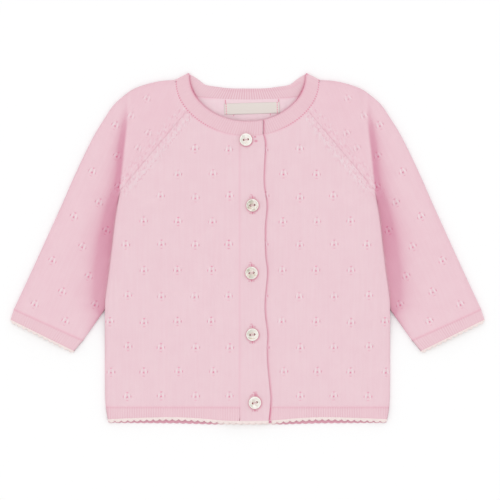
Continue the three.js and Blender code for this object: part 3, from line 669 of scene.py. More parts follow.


# Creases laid on the +x half: ends, half width, height (a ridge) or depth (a trough).
BODY_CREASES = (
    {"from": (121, 60), "to": (117, 176), "wide": 5.0, "high": -0.55},
    {"from": (108, 120), "to": (106, 205), "wide": 7.5, "high": 0.5},
    {"from": (88, 30), "to": (97, 118), "wide": 10.0, "high": -0.45},
    {"from": (52, 40), "to": (49, 132), "wide": 8.0, "high": 0.35},
    {"from": (30, 96), "to": (36, 214), "wide": 9.0, "high": -0.3},
    {"from": (70, 150), "to": (60, 232), "wide": 8.5, "high": 0.32},
    {"from": (100, 214), "to": (66, 250), "wide": 5.0, "high": -0.35},
)
SLEEVE_CREASES = (
    {"from": (99, 296), "to": (109.5, 262), "wide": 4.0, "high": -0.6},
    {"from": (137, 120), "to": (134, 200), "wide": 9.0, "high": 0.45},
    {"from": (150, 205), "to": (134, 240), "wide": 6.0, "high": -0.4},
    {"from": (196, 118), "to": (176, 160), "wide": 6.0, "high": -0.35},
    {"from": (158, 96), "to": (146, 132), "wide": 5.0, "high": -0.45},
    {"from": (124, 258), "to": (133, 244), "wide": 4.5, "high": 0.35},
    {"from": (84, 262), "to": (99, 236), "wide": 5.5, "high": -0.3},
)


def crease_relief(at, creases):
    """The creases' height at each point, the same on both halves."""
    total = np.zeros(len(at))
    at = points(np.abs(at[:, 0]), at[:, 1])
    for crease in creases:
        start, end = np.array(crease["from"], float), np.array(crease["to"], float)
        run = end - start
        share = (at - start) @ run / (run @ run)
        away = np.linalg.norm(at - start - np.clip(share, 0, 1)[:, None] * run, axis=1)
        fade = smooth(share, -0.12, 0.3) * (1 - smooth(share, 0.7, 1.12))
        total += crease["high"] * fade * np.exp(-((away / crease["wide"]) ** 2))
    return total


# Centres of the flowers, in each piece's own cloth coordinates.

RAGLAN_RUN = UNDERARM - FRONT_RAGLAN_TOP
RAGLAN_LONG = float(np.linalg.norm(RAGLAN_RUN))
RAGLAN_RUN = RAGLAN_RUN / RAGLAN_LONG


def off_raglan(x, y, top):
    """How far a point lies inside the body from a raglan seam."""
    run = UNDERARM - top
    off = points(np.abs(x), y) - top
    return -(run[0] * off[:, 1] - run[1] * off[:, 0]) / np.linalg.norm(run)


def body_motifs(half, top):
    """A panel's flowers: a staggered grid with a small drift, clear of the panel's sides."""
    all_of = [
        (half * (BODY_MOTIF_X + MOTIF_STEP * k), y)
        for i, y in enumerate(BODY_MOTIF_ROWS) for k in range(MOTIF_COLUMNS) if (i + k) % 2 == 0
    ]
    kept = np.array([at for at in all_of if has_room(*at, top)])
    kept[(kept[:, 0] > 0) & (kept[:, 0] < 17), 0] -= 1.0  # these lie half under the upper band
    return kept + np.clip(np.random.default_rng(5).normal(0, MOTIF_DRIFT, kept.shape), -1, 1)


def has_room(x, y, top):
    off_side = y >= UNDERARM[1] or body_side(y) - abs(x) > MOTIF_OFF_SIDE
    return off_side and off_raglan(np.array([x]), np.array([y]), top)[0] > MOTIF_OFF_RAGLAN


def sleeve_motifs():
    """The upper layer's flowers, and the same ones again on the lower layer."""
    upper = np.array(SLEEVE_MOTIFS, float) * (-1, 1)
    return np.vstack([upper, upper * (-1, 1) + (math.pi * LAYER / 2, 0)])


def raglan_marks(half):
    """Centres of the narrowing marks in a row beside a front raglan seam."""
    inward = np.array([RAGLAN_RUN[1], -RAGLAN_RUN[0]])
    steps = np.arange(MARK_STEP, RAGLAN_LONG - 4, MARK_STEP)
    at = FRONT_RAGLAN_TOP + np.outer(steps, RAGLAN_RUN) + inward * MARK_FROM_SEAM
    return at * (half, 1)


def fashioning(p, w, place):
    """1 beside a front raglan seam, where slanting stitches narrow the knit, and 0 elsewhere."""
    at = place[:, :2]
    away = np.abs(off_raglan(*at.T, FRONT_RAGLAN_TOP))
    return np.where(p <= 1, (1 - smooth(away, *FASHIONED_OUT)) * smooth(at[:, 1], *FASHIONED_UP), 0)


def beside(flat, centres, reach=MOTIF_NEAR):
    """Each point's place relative to its nearest centre, then 1 near a centre and 0 elsewhere."""
    offset = np.full((len(flat), 3), FAR)
    offset[:, 2] = 0
    if len(centres):
        apart = flat[:, None, :] - centres[None]
        distance = np.linalg.norm(apart, axis=2)
        pick = distance.argmin(axis=1)
        rows = np.arange(len(flat))
        near = distance[rows, pick] < reach
        offset[near, :2] = apart[rows, pick][near]
        offset[near, 2] = 1
    return offset


def nearest_line(lines, count):
    """How far each point lies from the nearest seam or edge, and how strongly that one shows."""
    if not lines:
        return np.full(count, FAR), np.zeros(count)
    distances = np.stack([np.abs(distance) for distance, strength in lines])
    strengths = np.stack([np.broadcast_to(strength, count) for distance, strength in lines])
    pick = (distances / (strengths + 0.05)).argmin(axis=0)
    rows = np.arange(count)
    return distances[pick, rows], strengths[pick, rows]


# Cloth coordinates of the pieces: u across the knit's wales, v along them.

def body_pattern(p, w, place):
    return place[:, :2]


SLEEVE_UP = np.array([-math.sin(SLEEVE_LEAN), math.cos(SLEEVE_LEAN)])
SLEEVE_OUT = np.array([math.cos(SLEEVE_LEAN), math.sin(SLEEVE_LEAN)])


def sleeve_pattern(p, w, place):
    flat = place[:, :2] - CUFF_OUTER_END
    inside = -(flat @ SLEEVE_OUT)
    past_fold = math.pi * LAYER / 2 * np.clip(p - 1, 0, 1)
    return points(np.where(p < 1.5, -inside, inside) + past_fold, flat @ SLEEVE_UP)


def strip_pattern(surface, ends, deep):
    """Coordinates along and across a strip whose w runs over its depth."""
    s = np.linspace(*ends, 1200)
    run = lengths_of(surface(s, np.full(len(s), 0.5)))

    def pattern(p, w, place):
        return points(np.interp(p, s, run), w * deep)
    return pattern


# Building a piece of cloth.

def read(items, field="co"):
    values = np.empty(len(items) * 3, np.float32)
    items.foreach_get(field, values)
    return values.reshape(-1, 3).astype(float)


def in_frame(place):
    return place * MM + (0, FOOT_Y, 0)


def everywhere(p, w, place):
    return np.full(len(p), True)


def as_mesh(work, name):
    mesh = bpy.data.meshes.new(name)
    work.to_mesh(mesh)
    work.free()
    return mesh


def placed(name, data):
    thing = bpy.data.objects.new(name, data)
    bpy.context.scene.collection.objects.link(thing)
    return thing


def map_cloth(mesh, flat):
    """Keeps each corner's place in the cloth as the piece's map, and shades its faces smooth."""
    corner = np.empty(len(mesh.loops), np.int32)
    mesh.loops.foreach_get("vertex_index", corner)
    mesh.uv_layers.new(name="cloth").data.foreach_set("uv", flat[corner].ravel())
    mesh.polygons.foreach_set("use_smooth", [True] * len(mesh.polygons))


def keep(mesh, title, values):
    """Keeps a number or a place at each point, for the shader."""
    kind, field = ("FLOAT_VECTOR", "vector") if values.ndim > 1 else ("FLOAT", "value")
    mesh.attributes.new(title, kind, "POINT").data.foreach_set(field, values.ravel())


def thicken(thing, outer, rim, wall):
    """Gives a sheet its wall, thin along the rim and sharp along the other outer edges."""
    mesh = thing.data
    ends = np.empty(len(mesh.edges) * 2, np.int32)
    mesh.edges.foreach_get("vertices", ends)
    seam = (outer & ~rim)[ends.reshape(-1, 2)].all(axis=1)
    mesh.attributes.new("sharp_edge", "BOOLEAN", "EDGE").data.foreach_set("value", seam)
    group = thing.vertex_groups.new(name="wall")
    for here, weight in ((~rim, 1.0), (rim, EDGE_THIN)):
        group.add([int(i) for i in np.flatnonzero(here)], weight, "REPLACE")
    solid = thing.modifiers.new("wall", "SOLIDIFY")
    solid.thickness = wall * MM
    solid.offset = 0
    solid.vertex_group = "wall"


def shell(name, surface, p_stops, w_stops, pattern, motifs=(), marks=(), reach=MOTIF_NEAR, relief=None,
          shade=None, fashioned=None, lines=None, free=everywhere, half=1, facing=1, wall=CLOTH, cuts=2):
    """A grid of cloth bent over a surface, finer under its flowers, with the wall's thickness.

    Its free edges are rounded off, and its seams stay full so that they meet."""

    def laid_out(share):
        p, w = (
            np.interp(share[:, k] * (len(stops) - 1), np.arange(len(stops)), stops)
            for k, stops in enumerate((p_stops, w_stops))
        )
        place = surface(p, w)
        return p, w, place, pattern(p, w, place)

    work = bmesh.new()
    bmesh.ops.create_grid(work, x_segments=len(p_stops) - 1, y_segments=len(w_stops) - 1, size=0.5)
    bmesh.ops.translate(work, vec=(0.5, 0.5, 0), verts=work.verts)
    if len(motifs):
        middles = np.array([face.calc_center_median() for face in work.faces])
        offset = beside(laid_out(middles)[-1], motifs)
        close = np.hypot(offset[:, 0], offset[:, 1]) < MOTIF_REACH
        edges = {edge for face, near in zip(work.faces, close) if near for edge in face.edges}
        bmesh.ops.subdivide_edges(work, edges=list(edges), cuts=cuts, use_grid_fill=True)
    if half < 0:
        bmesh.ops.reverse_faces(work, faces=work.faces)
    mesh = as_mesh(work, name)

    share = read(mesh.vertices)
    p, w, place, flat = laid_out(share)
    flower, mark = beside(flat, motifs), beside(flat, marks, reach)
    turned = in_frame(place * (half, 1, 1))
    mesh.vertices.foreach_set("co", turned.ravel())
    mesh.update()
    raised = STITCH_HIGH * lifted_stitches(*flower.T[:2]) - EYELET_DEEP * eyelets(*flower.T[:2])
    raised += MARK_HIGH * mark_stitch(*mark.T[:2])
    if relief:
        raised = raised + relief(p, w, place, flat)
    moved = turned + read(mesh.vertex_normals, "vector") * (raised * facing * MM)[:, None]
    moved[:, 2] = np.maximum(moved[:, 2], wall / 2 * MM)
    mesh.vertices.foreach_set("co", moved.ravel())

    map_cloth(mesh, flat)
    # depth is each point's painted shade, slant its share of narrowing stitches.
    depth, slant = (given(p, w, place) if given else np.zeros(len(p)) for given in (shade, fashioned))
    away, strength = nearest_line(lines(p, w, place) if lines else (), len(p))
    kept = {
        "flower": flower, "mark": mark, "shade": depth, "fashioned": slant,
        "away": away, "strength": strength,
    }
    for title, values in kept.items():
        keep(mesh, title, values)
    thing = placed(name, mesh)
    outer = (np.abs(share[:, :2] - 0.5) > 0.4999).any(axis=1)
    thicken(thing, outer, outer & free(p, w, place), wall)
    return thing, flat


def cut_of(thing, flat):
    """The piece's flat cut: its size and area in its cloth coordinates, in metres."""
    wide, long = np.round((flat.max(axis=0) - flat.min(axis=0)) * MM, 5)
    area = 0.0
    for face in thing.data.polygons:
        corners = flat[list(face.vertices)]
        x, y = corners[:, 0], corners[:, 1]
        area += abs(x @ np.roll(y, -1) - y @ np.roll(x, -1)) / 2
    return (float(wide), float(long)), min(area * MM * MM, float(wide * long))


def sew(thing, finish, node):
    """Gives a piece its finish and its place on the garment."""
    thing.data.materials.append(finish)
    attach(thing, "root")
    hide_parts(node)


def sew_sheet(made, finish, node, rests_on):
    """The same for a sheet of cloth; the size and area of its cut are worked out but not kept."""
    thing, flat = made
    sew(thing, finish, node)
    size, area = cut_of(thing, flat)


# Shader values: Python's arithmetic adds Math nodes.

class Value:
    """A socket's value."""

    def __init__(self, finish, socket):
        self.finish = finish
        self.socket = socket

    def maths(self, operation, other=0.0, reflected=False):
        pair = (other, self) if reflected else (self, other)
        return self.finish.node("ShaderNodeMath", {"operation": operation}, {0: pair[0], 1: pair[1]})

    def __add__(self, other):
        return self.maths("ADD", other)

    def __sub__(self, other):
        return self.maths("SUBTRACT", other)

    def __rsub__(self, other):
        return self.maths("SUBTRACT", other, True)

    def __mul__(self, other):
        return self.maths("MULTIPLY", other)

    def __truediv__(self, other):
        return self.maths("DIVIDE", other)

    def __rpow__(self, other):
        return self.maths("POWER", other, True)

    __radd__ = __add__
    __rmul__ = __mul__

    def part(self):
        return self.maths("FRACT")

    def sine(self):
        return self.maths("SINE")

    def size(self):
        return self.maths("ABSOLUTE")

    def within(self, low, high):
        """0 below low, 1 above high, smooth between."""
        settings = {"interpolation_type": "SMOOTHSTEP"}
        return self.finish.node("ShaderNodeMapRange", settings, {0: self, 1: low, 2: high})


class Finish:
    """A material: one shader and the nodes that feed it."""

    def __init__(self, name, **constants):
        self.material = bpy.data.materials.new(name)
        self.material.use_nodes = True
        self.tree = self.material.node_tree
        self.shader = self.tree.nodes["Principled BSDF"]
        for title, value in constants.items():
            self.shader.inputs[title.replace("_", " ")].default_value = value

    def node(self, kind, settings, inputs, out=0):
        made = self.tree.nodes.new(kind)
        for title, value in settings.items():
            setattr(made, title, value)
        for title, value in inputs.items():
            self.feed(made.inputs[title], value)
        return Value(self, made.outputs[out])

    def feed(self, socket, value):
        if isinstance(value, Value):
            self.tree.links.new(value.socket, socket)
        else:
            socket.default_value = value

    def split(self, vector):
        return [self.node("ShaderNodeSeparateXYZ", {}, {0: vector}, out=k) for k in range(3)]

    def cloth(self):
        return self.split(self.node("ShaderNodeUVMap", {"uv_map": "cloth"}, {}))[:2]

    def attribute(self, title, out=2):
        return self.node("ShaderNodeAttribute", {"attribute_name": title}, {}, out=out)

    def offset(self, title):
        """A place relative to the nearest centre, and 1 only where all round is near one."""
        x, y, near = self.split(self.attribute(title, out=1))
        return x, y, near.within(0.9, 1.0)

    def joined(self, x, y):
        return self.node("ShaderNodeCombineXYZ", {}, {0: x, 1: y})

    def shaded(self, tone, extra=0.0, upper=1.0):
        """The tone with painted shade in its folds and along its seams and edges."""
        line = math.e ** (square(self.attribute("away") / LINE_WIDE) * -1) * self.attribute("strength")
        tone = self.blend(self.attribute("shade") * upper, tone, SHADE_TINT, "MULTIPLY")
        return self.blend(line + extra, tone, LINE_TINT, "MULTIPLY")

    def place(self):
        return self.node("ShaderNodeTexCoord", {}, {}, out=3)

    def noise(self, scale, vector=None, detail=2.0):
        inputs = {"Vector": vector or self.place(), "Scale": scale, "Detail": detail}
        return self.node("ShaderNodeTexNoise", {}, inputs)

    def blend(self, share, first, second, kind="MIX"):
        settings = {"data_type": "RGBA", "blend_type": kind}
        return self.node("ShaderNodeMix", settings, {0: share, 6: first, 7: second}, out=2)

    def done(self, colour, height=None, distance=0.0, strength=1.0, roughness=None):
        self.feed(self.shader.inputs["Base Color"], colour)
        if roughness is not None:
            self.feed(self.shader.inputs["Roughness"], roughness)
        if height is not None:
            inputs = {"Height": height, "Distance": distance, "Strength": strength}
            self.feed(self.shader.inputs["Normal"], self.node("ShaderNodeBump", {}, inputs))
        return self.material


def screen(red, green, blue):
    """A colour as seen on screen, 0 to 255, as the linear colour that a shader takes."""
    def linear(level):
        share = level / 255
        return share / 12.92 if share <= 0.04045 else ((share + 0.055) / 1.055) ** 2.4
    return (linear(red), linear(green), linear(blue), 1.0)


BODY_PINK = screen(240, 211, 218)
SLEEVE_PINK = screen(241, 209, 217)
RIB_PINK = screen(233, 199, 207)
DEEP_PINK = screen(222, 138, 164)
# Deep pink painted in the eyelet holes, as the shade inside them.
EYELET_SHADE_PINK = screen(228, 134, 168)
# A pale pink: painted highlight on raised stitches and ribs, the uneven pale stitches by the raglan seams,
# and pale points between the neckband's linking loops.
STITCH_LIGHT = screen(240, 228, 231)
CREAM = screen(245, 231, 227)
LABEL_CREAM = screen(228, 219, 213)
LABEL_THREAD = screen(234, 150, 176)
# Paler pink painted on the back's upper side inside the neck, as light that lifts it out of the front's
# shade.
PAINTED_INSIDE_LIGHT = screen(255, 236, 242)
FUZZ = 2600.0  # scale of the yarn's loose fibres
WOOL = {"Roughness": 0.85, "Sheen_Weight": 0.12, "Sheen_Roughness": 0.4, "Specular_IOR_Level": 0.25}
SHADE_TINT = (0.7, 0.24, 0.42, 1.0)  # what each colour keeps under the deepest painted shade in a fold
LINE_TINT = (0.88, 0.27, 0.48, 1.0)  # and under the deepest painted shade along a seam or edge

# Where a finish changes, from and to, in metres, because a shader reads a piece's place in metres.
FAINT_HEAD_X = (0.105, 0.112)
# The back's upper side inside the neck, where its painted light and shadow go.
INSIDE_Z = (0.0009, 0.0012)
INSIDE_Y = (0.225, 0.245)
NECKBAND_FRONT_Z = (0.0014, 0.0018)
NECKBAND_OPEN_X = (0.02, 0.042)
PICOT_UPPER_Z = (0.0004, 0.0008)
# How the painted shadow of the front's neck edge deepens across the back, where it is deepest, and how far
# that peak spreads.
INNER_LINE_X = (0.012, 0.05)
INNER_LINE_DEEPEST = 0.0483
INNER_LINE_SPREAD = 0.003


def stitch_height(u, v):
    """Fine stocking stitch: two legs to a wale, a V to each course."""
    leg = ((u / WALE).part() - 0.5).size() * 2
    across = (leg * math.pi).sine()
    upward = ((v / COURSE + leg * 0.8).part() * math.pi).sine()
    return across, across * (upward * 0.45 + 0.55)


def darker(colour, share):
    """A colour deepened towards pink."""
    return tuple(c * (1 - share * k) for c, k in zip(colour[:3], (0.4, 1.0, 0.8))) + (1,)


def worn_tone(finish, tone, u, v):
    """Faint streaks along the wales and cloudy patches."""
    streak = finish.noise(1.0, finish.joined(u * 0.42, v * 0.025)).within(0.35, 0.65)
    tone = finish.blend(streak * 0.5, tone, (0.985, 0.955, 0.965, 1), "MULTIPLY")
    cloud = finish.noise(75.0).within(0.3, 0.7)
    return finish.blend(cloud * 0.45, tone, (0.98, 0.945, 0.96, 1), "MULTIPLY")


def fashioned_tone(finish, tone, u, v):
    """Light and deep stitches, uneven, where the knit is narrowed."""
    share = finish.attribute("fashioned")
    light = finish.noise(1.0, finish.joined(u * 0.5, v * 0.2), detail=1.0).within(0.5, 0.64)
    deep = finish.noise(1.0, finish.joined(u * 0.62 + 40, v * 0.25), detail=1.0).within(0.52, 0.66)
    tone = finish.blend(light * share * 0.28, tone, STITCH_LIGHT)
    return finish.blend(deep * share * 0.72, tone, (0.94, 0.8, 0.85, 1), "MULTIPLY")


def inner_neck_shadow(finish):
    """Painted shadow of the front's neck edge on the back's inner side: how deep it is at each place."""
    x, y, z = finish.split(finish.place())
    far = square(x / (NECK_EDGE["across"] * MM))
    far = far + square((y - FOOT_Y - NECK_EDGE["y"] * MM) / (NECK_EDGE["down"] * MM))
    line = math.e ** (square((far - 1) * (NECK_EDGE["radius"] / 2) / LINE_WIDE) * -1)
    deepest = math.e ** (square((x.size() - INNER_LINE_DEEPEST) / INNER_LINE_SPREAD) * -1)
    return line * (x.size().within(*INNER_LINE_X) * 0.25 + deepest * 0.5 + 0.2)


def flowered(finish, tone, height, u, v, faint_head):
    """Adds the eyelet flowers, each a little different: holes painted deep pink as their shade, raised
    stitches painted paler as their highlight, and on a sleeve fainter near its head.
    """
    x, y, near = finish.offset("flower")
    own = finish.joined(u - x, v - y)
    first = finish.noise(0.13, own, detail=0.0)
    second = finish.noise(0.21, own, detail=0.0)
    light = lifted_stitches(x, y) * near
    holes = eyelets(x, y, first + 0.4, second * 1.1, 1.25 - first, second * 1.1) * near
    if faint_head:
        head = 1 - finish.split(finish.place())[0].size().within(*FAINT_HEAD_X)
        light, holes = light * (1 - head * 0.3), holes * (1 - head * 0.65)
    tone = finish.blend(light * 0.55, tone, STITCH_LIGHT)
    return finish.blend(holes, tone, EYELET_SHADE_PINK), height * (1 - holes) + light * 0.6


def narrowed(finish, tone, height):
    """Adds the narrowing marks beside the raglan seam, their raised stitches painted paler as a highlight."""
    x, y, near = finish.offset("mark")
    marked = mark_stitch(x, y) * near
    tone = finish.blend(marked * 0.35, tone, STITCH_LIGHT)
    tone = finish.blend(spot(x, y, 1.9, -0.2, 0.55, 0.9) * near * 0.3, tone, DEEP_PINK)
    return tone, height + marked * 0.4


def buttonholed(finish, tone, height, v):
    """Adds what shows of the buttonholes and the deeper stitches round them, with painted shade in their
    slits and in the creases at the hem's button, and a painted shadow round each button.
    """
    x, y, near = finish.offset("mark")
    top, foot = v.within(*TOP_HOLE_ROWS), 1 - v.within(*FOOT_HOLE_ROWS)
    side_ends = spot(x, y, 8.2, 2.4, 1.0, 0.9) + spot(x, y, 9.0, -1.2, 1.6, 1.1)
    ends = (hole_ends(x, y) * (1 - top) + side_ends * top) * near
    stitches = (hole_stitches(x, y) * (1 - top) + pull_lines(x, y) * foot) * near
    # Deep pink: the buttonhole stitches, and painted shade in the creases and in the slits' ends.
    tone = finish.blend(stitches * 0.5, tone, DEEP_PINK)
    tone = finish.blend(ends * 0.8, tone, DEEP_PINK)
    button_shadow = (1 - (square(x - 0.3) + square(y + 0.3)).within(34.0, 52.0)) * near * 0.42
    return tone, height + stitches * 0.8 - ends, button_shadow


def knit(name, colour, flowers=True, marks=False, buttonholes=False, inside=False, fashioned=False,
         faint_head=False):
    """Stocking stitch, with those features of the garment that the piece has."""
    finish = Finish(name, **WOOL)
    u, v = finish.cloth()
    across, height = stitch_height(u, v)
    tone = worn_tone(finish, finish.blend(1 - across, colour, darker(colour, 0.1)), u, v)
    if fashioned:
        tone = fashioned_tone(finish, tone, u, v)
    height = height + finish.noise(FUZZ, detail=1.0) * 0.35
    extra = 0.0
    if flowers:
        tone, height = flowered(finish, tone, height, u, v, faint_head)
    if marks:
        tone, height = narrowed(finish, tone, height)
    if buttonholes:
        tone, height, extra = buttonholed(finish, tone, height, v)
    # On the back's upper side inside the neck: painted light over the tone, and the painted shadow of the
    # front's neck edge.
    if inside:
        x, y, z = finish.split(finish.place())
        upper = z.within(*INSIDE_Z) * (y - FOOT_Y).within(*INSIDE_Y)
        tone = finish.blend(upper * 0.3, tone, PAINTED_INSIDE_LIGHT)
        extra = inner_neck_shadow(finish) * upper
    return finish.done(finish.shaded(tone, extra), height, distance=0.00022, strength=0.6)


def ribbed(name, colour, contrast, depth=0.5, linked=False):
    """Ribs of the same yarn. The neckband's are linked on with a row of loops."""
    finish = Finish(name, **WOOL)
    u, v = finish.cloth()
    wave = ((u / RIB).part() * (2 * math.pi)).sine() * 0.5 + 0.5
    across, stitch = stitch_height(u, v)
    patchy = finish.noise(42.0).within(0.42, 0.62) * 0.85 + 0.15
    deep = darker(colour, 0.24)
    if linked:
        # The neckband's ribs open up in the middle and close towards the shoulders.
        x, y, z = finish.split(finish.place())
        front = z.within(*NECKBAND_FRONT_Z)
        colour = finish.blend(front * 0.45, colour, darker(colour, 0.08))
        patchy = (1 - x.size().within(*NECKBAND_OPEN_X) * 0.85) * (1 - front * 0.55)
    # Painted shade in the troughs between the ribs and a painted highlight on their crests, uneven over the
    # cloth.
    tone = finish.blend((1 - wave) * patchy * contrast, colour, deep)
    tone = finish.blend(wave * patchy * contrast * 0.3, tone, STITCH_LIGHT)
    tone = worn_tone(finish, tone, u, v)
    height = stitch * 0.5 + wave * depth + finish.noise(FUZZ, detail=1.0) * 0.3
    if linked:
        loop = ((u / LINKING).part() - 0.5) * LINKING
        loops = spot(loop, v, 0, NECKBAND_WIDE - 0.6, 0.66, 0.72)
        strong = finish.attribute("loops")
        tone = finish.blend(loops * strong * 0.9, tone, DEEP_PINK)
        pale = spot(loop, v, LINKING / 2, NECKBAND_WIDE - 0.3, 0.4, 0.6)
        tone = finish.blend(pale * strong * 0.4, tone, STITCH_LIGHT)
    return finish.done(finish.shaded(tone), height, distance=0.00022, strength=0.5)


def yarn_finish(name, colour, twist=1.1):
    """Plied yarn, with its twist on slanting stripes of the piece's own place."""
    finish = Finish(name, **WOOL)
    x, y, z = finish.split(finish.place())
    ply = (((x + y + z) * (1000 / twist)).part() * math.pi).sine()
    tone = finish.blend(ply, darker(colour, 0.08), colour)
    height = ply + finish.noise(FUZZ, detail=1.0) * 0.4
    # Painted shade from the shade attribute, on the edging's upper side only.
    tone = finish.shaded(tone, upper=z.within(*PICOT_UPPER_Z))
    return finish.done(tone, height, distance=0.0002, strength=0.5)


def woven_label():
    """Bare woven tape, with a row of stitches at each end."""
    finish = Finish("woven label tape", Roughness=0.7, Sheen_Weight=0.1, Specular_IOR_Level=0.3)
    u, v = finish.cloth()
    warp = ((u / 0.42).part() * math.pi).sine()
    weft = ((v / 0.3).part() * math.pi).sine()
    grain = warp * 0.5 + weft * 0.5
    tone = finish.blend(grain, screen(221, 212, 206), LABEL_CREAM)
    bar = ((v / 2.1).part() - 0.5) * 2.1
    for across in LABEL_STITCHES:
        tone = finish.blend(spot(u, bar, across, 0, 0.55, 0.8) * 0.95, tone, LABEL_THREAD)
    return finish.done(tone, grain, distance=0.00012, strength=0.5)


def pearl_shell(number, patches):
    """White shell with greenish patches, most on its left, sandy ones, most at its foot, and a pale rim."""
    finish = Finish(f"mother of pearl {number}", IOR=1.5, Coat_Roughness=0.12, Coat_Weight=0.35)
    u, v = finish.cloth()
    place = finish.place()
    bent = finish.noise(300.0, place, detail=3.0)
    patch = finish.noise(520.0, place, detail=2.0).within(0.5, 0.64)
    far = square(u) + square(v)
    ringed = (1 - far.within(21.0, 29.0) * 0.75) * patches
    left, foot = 1 - u.within(-1.5, 3.5) * 0.75, 1 - v.within(-4.0, -0.5) * 0.7
    layers = (
        (bent.within(0.42, 0.56) * ringed * left, screen(178, 187, 170)),
        (patch * ringed * foot, screen(196, 160, 120)),
        (ringed * 0.3, screen(206, 184, 164)),
        ((1 - far.within(4.0, 9.0)) * 0.22, screen(224, 172, 176)),
        # A brownish ring on the rim's outer side: painted shade where the rim turns down.
        (far.within(28.5, 32.0) * 0.6, screen(188, 152, 134)),
    )
    tone = screen(250, 248, 243)
    for share, colour in layers:
        tone = finish.blend(share, tone, colour)
    rings = (far * 0.4 + bent * 4).sine() * 0.5 + 0.5
    return finish.done(tone, rings, distance=0.00005, strength=0.3, roughness=bent * 0.25 + 0.12)


def plain(name, colour):
    """A thread's finish, a little uneven."""
    finish = Finish(name, Roughness=0.7, Specular_IOR_Level=0.2)
    grain = finish.noise(1500.0, detail=2.0)
    tone = finish.blend(grain, tuple(c * 0.88 for c in colour[:3]) + (1,), colour)
    return finish.done(tone, grain, distance=0.0001, strength=0.4)


# The camera looks straight down, as the photograph does; one pixel is 0.9 mm.

PIXEL = 0.9
PIXELS = 500
CAMERA_OVER = (2.25, 157.5)
CAMERA_UP = 3.0
SENSOR = 36.0
SKY = 0.95
SUN = 0.36
SUN_TURN = (-20, -4, 0)
FLOOR_HALF = 4


def add_camera():
    eye = bpy.data.cameras.new("camera")
    eye.sensor_width = SENSOR
    eye.lens = SENSOR * CAMERA_UP / (PIXELS * PIXEL * MM)
    eye.clip_end = 20
    camera = placed("camera", eye)
    camera.location = (CAMERA_OVER[0] * MM, CAMERA_OVER[1] * MM + FOOT_Y, CAMERA_UP)
    bpy.context.scene.camera = camera


def add_light():
    world = bpy.data.worlds.new("studio")
    world.use_nodes = True
    sky = world.node_tree.nodes["Background"]
    sky.inputs["Color"].default_value = (1, 1, 1, 1)
    sky.inputs["Strength"].default_value = SKY
    bpy.context.scene.world = world
    lamp = bpy.data.lights.new("softbox", "SUN")
    lamp.energy = SUN
    lamp.angle = math.radians(35)
    placed("softbox", lamp).rotation_euler = [math.radians(turn) for turn in SUN_TURN]


def add_floor():
    work = bmesh.new()
    bmesh.ops.create_grid(work, x_segments=1, y_segments=1, size=FLOOR_HALF)
    bmesh.ops.translate(work, vec=(0, 0, -0.0001), verts=work.verts)
    mesh = as_mesh(work, "floor")
    paper = Finish("white paper", Roughness=0.9, Specular_IOR_Level=0.0)
    mesh.materials.append(paper.done((0.95, 0.95, 0.95, 1)))
    placed("floor", mesh)


add_camera()
add_light()
add_floor()
bpy.context.scene.view_settings.view_transform = "Standard"


# Shading of the folds, 0 to 1.

def sleeve_shade(p, w, place):
    """Painted shade in the deep fold beside the body's edge and up into the sleeve head, fainter along the
    sleeve's outer fold, with a slight deepening over the sleeve head.
    """
    at = place[:, :2]
    outside = outside_valley(at)
    flat, tail, depth = (read_off(FOLD_SHADE, at[:, 1], out=k) for k in (1, 2, 3))
    fall = np.exp(-np.maximum(outside - flat, 0) / tail) * (1.06 - 0.14 * np.clip(outside / (flat + 1), 0, 1))
    band = smooth(outside, -1.5, 1.0) * fall * depth
    rim = 0.1 * np.exp(-nearest(SMOOTH_FOLD, at)[0] / 2.5)
    head = 0.035 * smooth(-outside, 0, 6) * smooth(at[:, 1], UNDERARM[1], 225)
    return np.where(p < 1.2, band + head, 0) + rim


def side_shade(p, w, place):
    """Painted shade along a panel's side, as it turns down."""
    side = np.where(place[:, 1] < UNDERARM[1], body_side(place[:, 1]) - np.abs(place[:, 0]), FAR)
    return 0.12 * np.exp(-np.maximum(side, 0) / 2.0)


# Seams and edges that show, as lines of painted shade: distance in millimetres and strength.

def from_ellipse(ellipse, at):
    """How far a point lies outside an ellipse, near enough to it."""
    reach = (at[:, 0] / ellipse["across"]) ** 2 + ((ellipse["y"] - at[:, 1]) / ellipse["down"]) ** 2
    return (reach - 1) / 2 * ellipse["radius"]


def neck_edge_line(at):
    """Painted shadow of the front's neck edge, as it lies over the back."""
    strength = np.interp(np.abs(at[:, 0]), (0, 15, 32, 42, 48.6, 54), (0.2, 0.22, 0.3, 0.4, 0.9, 0.5))
    return from_ellipse(NECK_EDGE, at), strength


def band_edge_line(at):
    """Painted shadow of the upper band's edge, as it lies over the left front: deepest at the hem and at the
    neck.
    """
    away = at[:, 0] - band_edge(at[:, 1])
    strength = 0.42 + 0.25 * smooth(-at[:, 1], -30, -12) + 0.12 * smooth(at[:, 1], 245, 258)
    return np.maximum(away - 0.5, 0), strength


def front_lines(side):
    def lines(p, w, place):
        at = place[:, :2]
        every = [
            (at[:, 1] - HEM_TOP, SHOWS["hem"]),
            (np.where(at[:, 1] > UNDERARM[1], off_raglan(*at.T, FRONT_RAGLAN_TOP), FAR), SHOWS["raglan"]),
            (from_ellipse(NECK_SEAM, at), SHOWS["neck"]),
        ]
        return every + ([band_edge_line(at)] if side > 0 else [(at[:, 0] + BAND_SEAM, SHOWS["band"])])
    return lines


def band_lines(p, w, place):
    top = from_ellipse(NECK_SEAM, place[:, :2])
    return [(place[:, 0] + BAND_SEAM, SHOWS["band side"]), (top, SHOWS["neck"])]


def back_lines(p, w, place):
    at = place[:, :2]
    return [(back_seam_y(at[:, 0]) - at[:, 1], 0.03 + 0.15 * smooth(np.abs(at[:, 0]), 18, 40))]


